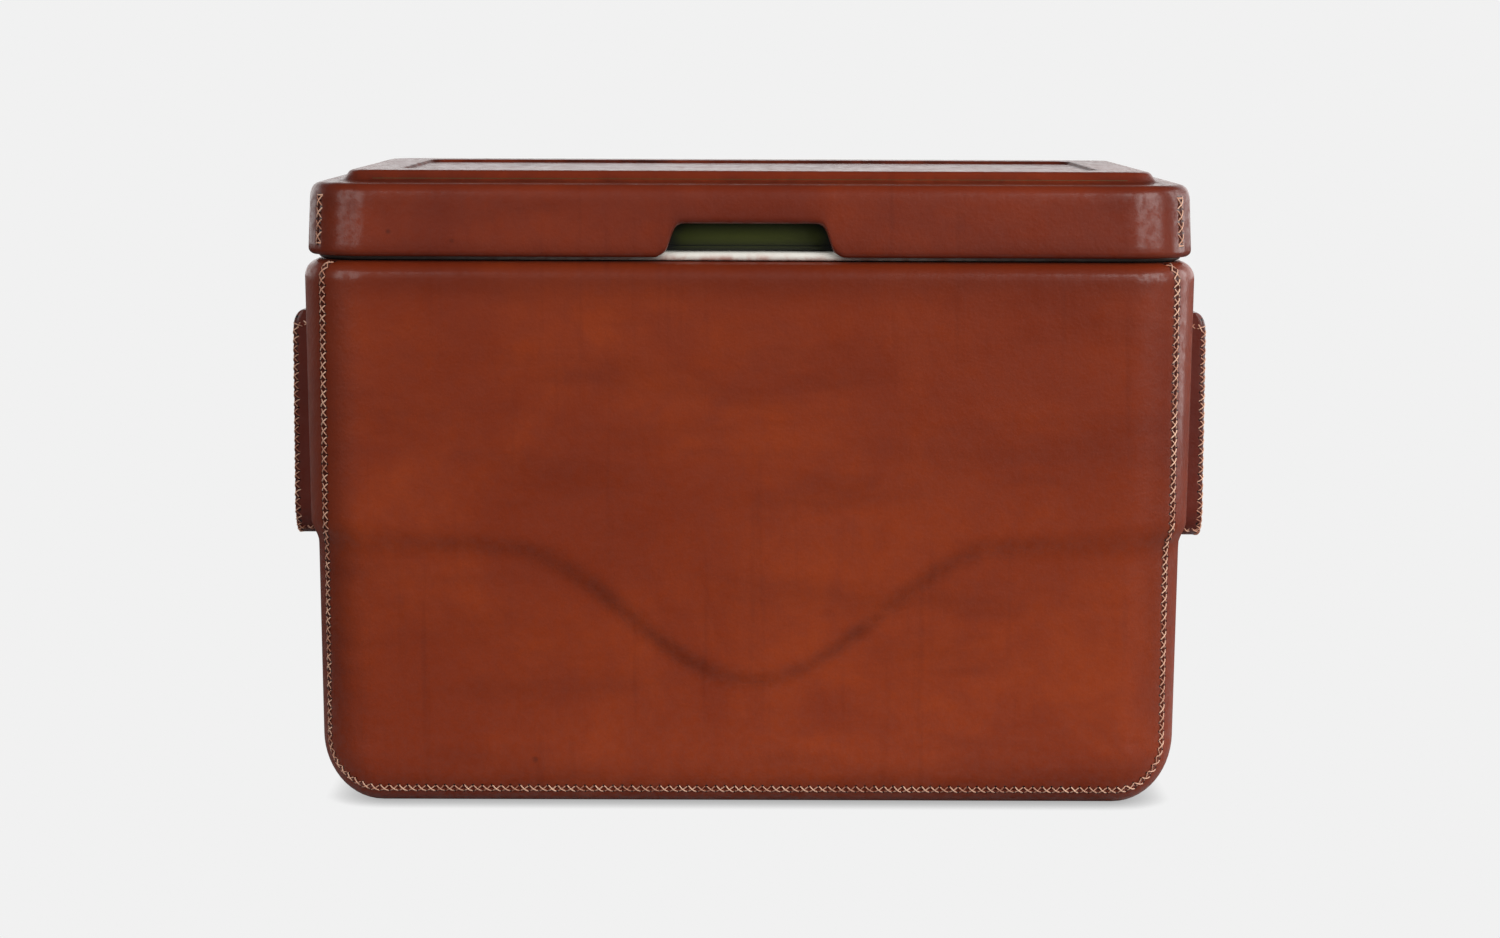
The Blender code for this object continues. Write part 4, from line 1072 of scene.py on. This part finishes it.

# Tub liner
# One white moulding: a drafted tub whose rim turns out over the cover's edge in a round nose.
# Its gloss is dulled by fine scuffs, dye from the hide has stained the front of the nose, and
# shade is painted near black on the nose where the lid's skirt hangs over it.

liner_low, liner_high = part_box("body_liner")
RIM_WIDTH = 0.0221
RIM_NOSE = 0.0024
RIM_INNER_EDGE = 0.0020
LINER_WALL = 0.0020
TUB_DRAFT_SHARE = 0.018
TUB_CORNER = 0.024
TUB_FOOT = 0.014
RIM_CORNER = 0.0278
TUB_TURNS = tuple(range(0, 90, 9))
FRONT_STOPS = (0, 0.21, 0.245, 0.45, 0.7, 1)
# How dark shade is painted on the nose under the lid's skirt: none in the finger recess.
LID_SHADE_AT_STOPS = {0: 0, 0.21: 0, 0.245: 0.62, 0.45: 0.72, 0.7: 0.86}
LID_SHADE_ELSEWHERE = 0.95
SHARP_MOULDING = 35


def white_plastic(name):
    """White moulding with scuffed gloss. The eye gets rust red dye stains, and painted shade near
    black where the lid's skirt hangs over it.
    """
    made, tree, place = new_material(name)
    stain, painted_lid_shade = (
        add(tree, "ShaderNodeAttribute", attribute_name=mark).outputs["Fac"]
        for mark in ("stain", "painted_lid_shade"))
    patchy, rough = (
        add(tree, "ShaderNodeMapRange", {
            "Value": add(tree, "ShaderNodeTexNoise", {
                "Vector": place, "Scale": scale, "Detail": detail}).outputs[0],
            "From Min": start, "From Max": end, "To Min": low, "To Max": high}).outputs[0]
        for scale, detail, start, end, low, high in (
            (130, 3, 0.42, 0.68, 0.15, 1), (60, 6, 0, 1, 0.30, 0.48)))
    stained = add(tree, "ShaderNodeMath", {0: stain, 1: patchy}, operation="MULTIPLY").outputs[0]
    colour = linear("#e4e1d8")
    # Dye stains the nose, and shade under the lid's skirt is painted near black.
    for share, over in ((stained, "#b5796a"), (painted_lid_shade, "#15100e")):
        colour = add(tree, "ShaderNodeMix", {
            0: share, 6: colour, 7: linear(over)}, data_type="RGBA").outputs[2]
    shader = add(tree, "ShaderNodeBsdfPrincipled", {
        "Base Color": colour, "Roughness": rough}).outputs[0]
    add(tree, "ShaderNodeOutputMaterial", {"Surface": shader})
    return made


WHITE_MOULDING = white_plastic("white_moulded_plastic")


def tub_rings():
    """Rings (half width, half depth, corner, height, stain) from the tub's floor, over its rim
    and back down its outside."""
    mouth_x, mouth_y = liner_high.x - RIM_WIDTH, liner_high.y - RIM_WIDTH
    top = liner_high.z

    def wall(grown):
        rings = []
        foot = TUB_FOOT + grown
        floor = liner_low.z + LINER_WALL - grown
        for turn in QUARTER_TURNS:
            tuck = 1 - sin(turn)
            z = floor + foot * (1 - cos(turn))
            narrowed = TUB_DRAFT_SHARE * (top - z) + foot * tuck - grown
            corner = TUB_CORNER + grown - (TUB_CORNER - TUB_FOOT + grown) * tuck
            rings.append((mouth_x - narrowed, mouth_y - narrowed, corner, z, 0))
        return rings

    def rim(out, z, stain=0):
        corner = TUB_CORNER + (RIM_CORNER - TUB_CORNER) * out / RIM_WIDTH
        return (mouth_x + out, mouth_y + out, corner, z, stain)

    rings = wall(0)
    for turn in QUARTER_TURNS:
        rings.append(rim(RIM_INNER_EDGE * (1 - cos(turn)),
                         top - RIM_INNER_EDGE * (1 - sin(turn))))
    for turn in QUARTER_TURNS[::-1] + [-a for a in QUARTER_TURNS[1:]]:
        rings.append(rim(RIM_WIDTH - RIM_NOSE * (1 - cos(turn)),
                         top - RIM_NOSE * (1 - sin(turn)), 0.5 - 0.5 * sin(turn)))
    rings.append(rim(RIM_WIDTH - RIM_NOSE - LINER_WALL, top - 2 * RIM_NOSE))
    rings.append(rim(RIM_WIDTH - RIM_NOSE - LINER_WALL, top - LINER_WALL))
    rings.append(rim(LINER_WALL, top - LINER_WALL))
    return rings + wall(LINER_WALL)[::-1]


tub_columns = ring_columns(FRONT_STOPS, side_count=2, back_count=2, turns=TUB_TURNS)
tub = bmesh.new()
tub_rows = []
for half_x, half_y, corner, z, stain in tub_rings():
    row = []
    for column in tub_columns:
        front = column[1] == -1 and abs(column[0]) < 1
        painted_lid_shade = LID_SHADE_AT_STOPS[abs(column[0])] if front else LID_SHADE_ELSEWHERE
        row.append((ring_point(column, half_x, half_y, corner, z), stain if front else 0,
                    painted_lid_shade * min(stain * 2, 1)))
    tub_rows.append(row)
tub_lines = quilted(tub, tub_rows, closed=True, names=("stain", "painted_lid_shade"))
tub.faces.new(tub_lines[0])
tub.faces.new(tub_lines[-1])
bmesh.ops.recalc_face_normals(tub, faces=tub.faces)
tub_liner = finished("white_tub_liner", tub, WHITE_MOULDING, SHARP_MOULDING)
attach(tub_liner, "body")
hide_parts("body_liner")

# Screws
# Round-headed screws with a cross recess hold what hinges: brass ones in the hinge leaves,
# and steel ones in the handle brackets. Nobody lined their slots up.

SCREW_HEAD_RADIUS = 0.0036
SCREW_HEAD_HEIGHT = 0.0014
SCREW_SLOT = 0.0007


def metal(name, colour, worn, roughness, drawn):
    """Brushed metal: fine marks along the axis that `drawn` stretches, under a dull bloom."""
    made, tree, place = new_material(name)
    lines = add(tree, "ShaderNodeMapping", {"Vector": place, "Scale": drawn}).outputs[0]
    marks, bloom = (
        add(tree, "ShaderNodeTexNoise", {
            "Vector": where, "Scale": scale, "Detail": detail}).outputs[0]
        for where, scale, detail in ((lines, 1, 4), (place, 70, 5)))
    share, rough = (
        add(tree, "ShaderNodeMapRange", {
            "Value": value, "From Min": start, "From Max": end, "To Min": low,
            "To Max": high}).outputs[0]
        for value, start, end, low, high in (
            (bloom, 0.42, 0.68, 0, 1), (marks, 0, 1, roughness - 0.08, roughness + 0.12)))
    tint = add(tree, "ShaderNodeMix", {
        0: share, 6: linear(colour), 7: linear(worn)}, data_type="RGBA").outputs[2]
    bump = add(tree, "ShaderNodeBump", {
        "Strength": 0.5, "Distance": 0.00005, "Height": marks}).outputs[0]
    shader = add(tree, "ShaderNodeBsdfPrincipled", {
        "Base Color": tint, "Roughness": rough, "Normal": bump, "Metallic": 1}).outputs[0]
    add(tree, "ShaderNodeOutputMaterial", {"Surface": shader})
    return made


AGED_BRASS = metal("aged_brass", "#b08a4e", "#84612f", 0.36, (40, 1800, 1800))
SATIN_STEEL = metal("satin_steel", "#b9babb", "#8f8f90", 0.32, (1800, 60, 1800))


def screw_tree():
    """A domed head with a cross recess, set on every screw's place."""
    tree, given = open_tree("recessed_screw", ("Head Radius", "Head Height", "Slot"))
    radius, height = given["Head Radius"], given["Head Height"]
    size, slot_size, lift = (
        add(tree, "ShaderNodeCombineXYZ", dict(enumerate(sizes))).outputs[0]
        for sizes in ((radius, radius, height), (radius, given["Slot"], height), (0, 0, height)))
    ball = add(tree, "GeometryNodeMeshUVSphere", {
        "Segments": 28, "Rings": 14, "Radius": 1.0}).outputs[0]
    dome = add(tree, "GeometryNodeTransform", {"Geometry": ball, "Scale": size}).outputs[0]
    slot = add(tree, "GeometryNodeMeshCube", {"Size": slot_size}).outputs[0]
    recess = add(tree, "GeometryNodeMeshBoolean", {"Mesh 1": dome}, operation="DIFFERENCE")
    for turn in (0, radians(90)):
        cutter = add(tree, "GeometryNodeTransform", {
            "Geometry": slot, "Translation": lift, "Rotation": Euler((0, 0, turn))}).outputs[0]
        tree.links.new(cutter, recess.inputs["Mesh 2"])
    return set_on_places(tree, given, recess.outputs[0], wobble=3.1, tint=0, sharpest=35)


RECESSED_SCREW = screw_tree()


def set_screws(name, heads, body, slot, paint, seed):
    """Sets screw heads where (node, way out) pairs say, and hides those nodes."""
    places = []
    for node, out in heads:
        low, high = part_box(node)
        middle = (low + high) / 2
        end = high if sum(out) > 0 else low
        for axis in range(3):
            if out[axis]:
                middle[axis] = end[axis] - out[axis] * SCREW_HEAD_HEIGHT
        places.append((middle, Vector(out), UP))
    made = grown(name, places, RECESSED_SCREW, body, slot, **{
        "Head Radius": SCREW_HEAD_RADIUS, "Head Height": SCREW_HEAD_HEIGHT, "Slot": SCREW_SLOT,
        "Seed": seed, "Material": paint})
    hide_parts(*(node for node, _ in heads))


for holder, body in (("lower", "body"), ("upper", "lid")):
    heads = [(f"{side}_{holder}_hinge_screw_{n}", (0, 1, 0)) for side, _ in SIDES for n in (1, 2)]
    set_screws(f"{holder}_hinge_screws", heads, body, "brass", AGED_BRASS, 31)
heads = [(f"{side}_bracket_screw_{n}", (way, 0, 0)) for side, way in SIDES for n in (1, 2)]
set_screws("bracket_screws", heads, "body", "steel", SATIN_STEEL, 47)

# Shells, brackets, hinges and pins
# These keep the model's own shapes: olive drab plastic shells and brackets, a white lid
# lining, pale rigid foam, brass hinge leaves, and steel pins and handle rods.


def moulded(name, colour, roughness):
    """Moulded plastic. The eye gets a faint orange peel, and painted shade, near black, where parts
    close in on it.
    """
    made, tree, place = new_material(name)
    peel = add(tree, "ShaderNodeTexNoise", {"Vector": place, "Scale": 900, "Detail": 2}).outputs[0]
    bump = add(tree, "ShaderNodeBump", {
        "Strength": 0.3, "Distance": 0.0001, "Height": peel}).outputs[0]
    # Ambient occlusion paints shade, near black, into creases and narrow gaps.
    open_to_air = add(tree, "ShaderNodeAmbientOcclusion", {"Distance": 0.010}, samples=8).outputs["AO"]
    unshaded = add(tree, "ShaderNodeMapRange", {
        "Value": open_to_air, "From Min": 0.52, "From Max": 0.95}).outputs[0]
    shade = add(tree, "ShaderNodeMix", {
        0: unshaded, 6: linear("#050504"), 7: linear(colour)}, data_type="RGBA").outputs[2]
    shader = add(tree, "ShaderNodeBsdfPrincipled", {
        "Base Color": shade, "Normal": bump, "Roughness": roughness,
        "Specular IOR Level": 0.3}).outputs[0]
    add(tree, "ShaderNodeOutputMaterial", {"Surface": shader})
    return made


OLIVE_PLASTIC = moulded("olive_drab_plastic", "#3f450c", 0.42)
PALE_FOAM = moulded("pale_rigid_foam", "#e0cf9a", 0.95)

# The finger recess ends in a lip that closes the lid's foam, just above the tub's rim. It stands
# where the recess shows a dark line of shade, and its moulding's painted crease shade makes it
# that line.
LIP_HALF_WIDTH = 0.0545
LIP_FRONT = -0.1278
LIP_BACK = -0.1190
LIP_BOTTOM = 0.3212
LIP_HEIGHT = 0.0024
lip = bmesh.new()
bmesh.ops.create_cube(lip, size=1)
bmesh.ops.scale(lip, vec=(2 * LIP_HALF_WIDTH, LIP_BACK - LIP_FRONT, LIP_HEIGHT), verts=lip.verts)
bmesh.ops.translate(lip, vec=(0, (LIP_FRONT + LIP_BACK) / 2, LIP_BOTTOM + LIP_HEIGHT / 2),
                    verts=lip.verts)
shadow_line_lip = finished("finger_recess_shadow_lip", lip, OLIVE_PLASTIC)
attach(shadow_line_lip, "lid")


def smoothing_tree():
    """Joins the model's loose triangles and shades its round faces round."""
    tree = bpy.data.node_groups.new("round_shading", "GeometryNodeTree")
    for way in ("OUTPUT", "INPUT"):
        tree.interface.new_socket("Geometry", in_out=way, socket_type="NodeSocketGeometry")
    given = add(tree, "NodeGroupInput").outputs[0]
    bare = add(tree, "GeometryNodeRemoveAttribute", {
        "Geometry": given, "Name": "custom_normal"}).outputs[0]
    joined = add(tree, "GeometryNodeMergeByDistance", {
        "Geometry": bare, "Distance": SAME_POINT}).outputs[0]
    add(tree, "NodeGroupOutput", {"Geometry": shaded_round(tree, joined, SHARP_MOULDING)})
    return tree


ROUND_SHADING = smoothing_tree()
finishes = {"body_shell": OLIVE_PLASTIC, "lid_shell": OLIVE_PLASTIC, "lid_liner": WHITE_MOULDING,
            "body_foam": PALE_FOAM, "lid_foam": PALE_FOAM}
for side_name, side in SIDES:
    for piece, paint in (
        ("handle_core", OLIVE_PLASTIC), ("handle_bracket", OLIVE_PLASTIC),
        ("handle_rod", SATIN_STEEL), ("hinge_pin", SATIN_STEEL),
        ("hinge_lower_leaf", AGED_BRASS), ("hinge_upper_leaf", AGED_BRASS),
    ):
        finishes[f"{side_name}_{piece}"] = paint
for node, paint in finishes.items():
    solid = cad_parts[node]
    for slot in solid.material_slots:
        slot.material = paint
    solid.modifiers.new("round_shading", "NODES").node_group = ROUND_SHADING

# Studio
# The cooler stands on a pale seamless floor between two tall soft boxes, the right one the
# stronger, with a strip box beyond its right side and a bright backdrop behind it. It is seen
# from the front and a little above.

CAMERA_PLACE = (0.0006, -2.09, 0.4258)
CAMERA_DOWN = radians(6.7)
CAMERA_ROLL = radians(0.2)
CAMERA_LENS = 82.3
AT_COOLER = (0, 0, 0.2)
PAPER = linear("#f1f1f1")

camera_data = bpy.data.cameras.new("camera")
camera_data.lens = CAMERA_LENS
camera_data.sensor_width = 36
camera_data.clip_end = 100
camera = in_scene("camera", camera_data)
camera.location = CAMERA_PLACE
tilt = Euler((radians(90) - CAMERA_DOWN, 0, 0)).to_matrix()
camera.rotation_euler = (tilt @ Matrix.Rotation(CAMERA_ROLL, 3, "Z")).to_euler()
bpy.context.scene.camera = camera
bpy.context.scene.view_settings.view_transform = "Standard"


def soft_box(name, place, size, watts, aim):
    """A rectangular area light that faces a point."""
    data = bpy.data.lights.new(name, "AREA")
    data.shape = "RECTANGLE"
    data.size, data.size_y = size
    data.energy = watts
    lamp = in_scene(name, data)
    lamp.location = place
    lamp.rotation_euler = (Vector(aim) - Vector(place)).to_track_quat("-Z", "Y").to_euler()


soft_box("left_soft_box", (-1.27, -1.55, 1.05), (1.75, 1.5), watts=20, aim=AT_COOLER)
soft_box("right_soft_box", (1.27, -1.55, 1.05), (1.75, 1.5), watts=42, aim=AT_COOLER)
soft_box("right_strip_box", (1.45, 0.18, 0.60), (0.8, 1.2), watts=10, aim=(0.25, 0, 0.2))

world = bpy.data.worlds.new("studio")
world.use_nodes = True
bpy.context.scene.world = world
tree = world.node_tree
tree.nodes.clear()
direction = add(tree, "ShaderNodeTexCoord").outputs["Generated"]
parts = add(tree, "ShaderNodeSeparateXYZ", {0: direction}).outputs
behind, low_down = (
    add(tree, "ShaderNodeMapRange", {
        "Value": value, "From Min": start, "From Max": end, "To Min": low, "To Max": high},
        interpolation_type="SMOOTHSTEP").outputs[0]
    for value, start, end, low, high in (
        (parts["Y"], 0.1, 0.6, 0, 1), (parts["Z"], 0.25, 0.55, 1, 0)))
backdrop = add(tree, "ShaderNodeMath", {0: behind, 1: low_down}, operation="MULTIPLY").outputs[0]
strength = add(tree, "ShaderNodeMapRange", {
    "Value": backdrop, "To Min": 0.07, "To Max": 1.4}).outputs[0]
room, paper = (
    add(tree, "ShaderNodeBackground", {"Color": colour, "Strength": shine}).outputs[0]
    for colour, shine in (((1, 1, 1, 1), strength), (PAPER, 1)))
seen = add(tree, "ShaderNodeLightPath").outputs["Is Camera Ray"]
both = add(tree, "ShaderNodeMixShader", {0: seen, 1: room, 2: paper}).outputs[0]
add(tree, "ShaderNodeOutputWorld", {"Surface": both})

FLOOR_HALF = 8.0
floor_mesh = bpy.data.meshes.new("studio_floor")
floor_mesh.from_pydata(
    [(x * FLOOR_HALF, y * FLOOR_HALF, 0) for x, y in ((-1, -1), (1, -1), (1, 1), (-1, 1))],
    [], [(0, 1, 2, 3)])
floor = in_scene("studio_floor", floor_mesh)
paper_floor, tree, spot = new_material("paper_floor")
# The camera sees the floor glow paper white, with a painted contact shadow round the cooler's base.
near = add(tree, "ShaderNodeAmbientOcclusion", {"Distance": 0.015}, samples=8).outputs["AO"]
near = add(tree, "ShaderNodeMapRange", {
    "Value": near, "From Max": 0.9, "To Min": 0.48}).outputs[0]
shown = add(tree, "ShaderNodeEmission", {"Color": PAPER, "Strength": near}).outputs[0]
# Everything else sees a grey floor that is paler round the cooler: a painted pool of light on the
# cooler's foot.
spot = add(tree, "ShaderNodeVectorMath", {0: spot, 1: (0.6, 1, 0)}, operation="MULTIPLY").outputs[0]
spot = add(tree, "ShaderNodeVectorMath", {0: spot}, operation="LENGTH").outputs["Value"]
painted_light_pool = add(tree, "ShaderNodeMapRange", {
    "Value": spot, "From Min": 0.20, "From Max": 0.55, "To Min": 0.40, "To Max": 0.13}).outputs[0]
bounce = add(tree, "ShaderNodeBsdfDiffuse", {"Color": painted_light_pool}).outputs[0]
seen = add(tree, "ShaderNodeLightPath").outputs["Is Camera Ray"]
both = add(tree, "ShaderNodeMixShader", {0: seen, 1: bounce, 2: shown}).outputs[0]
add(tree, "ShaderNodeOutputMaterial", {"Surface": both})
floor_mesh.materials.append(paper_floor)
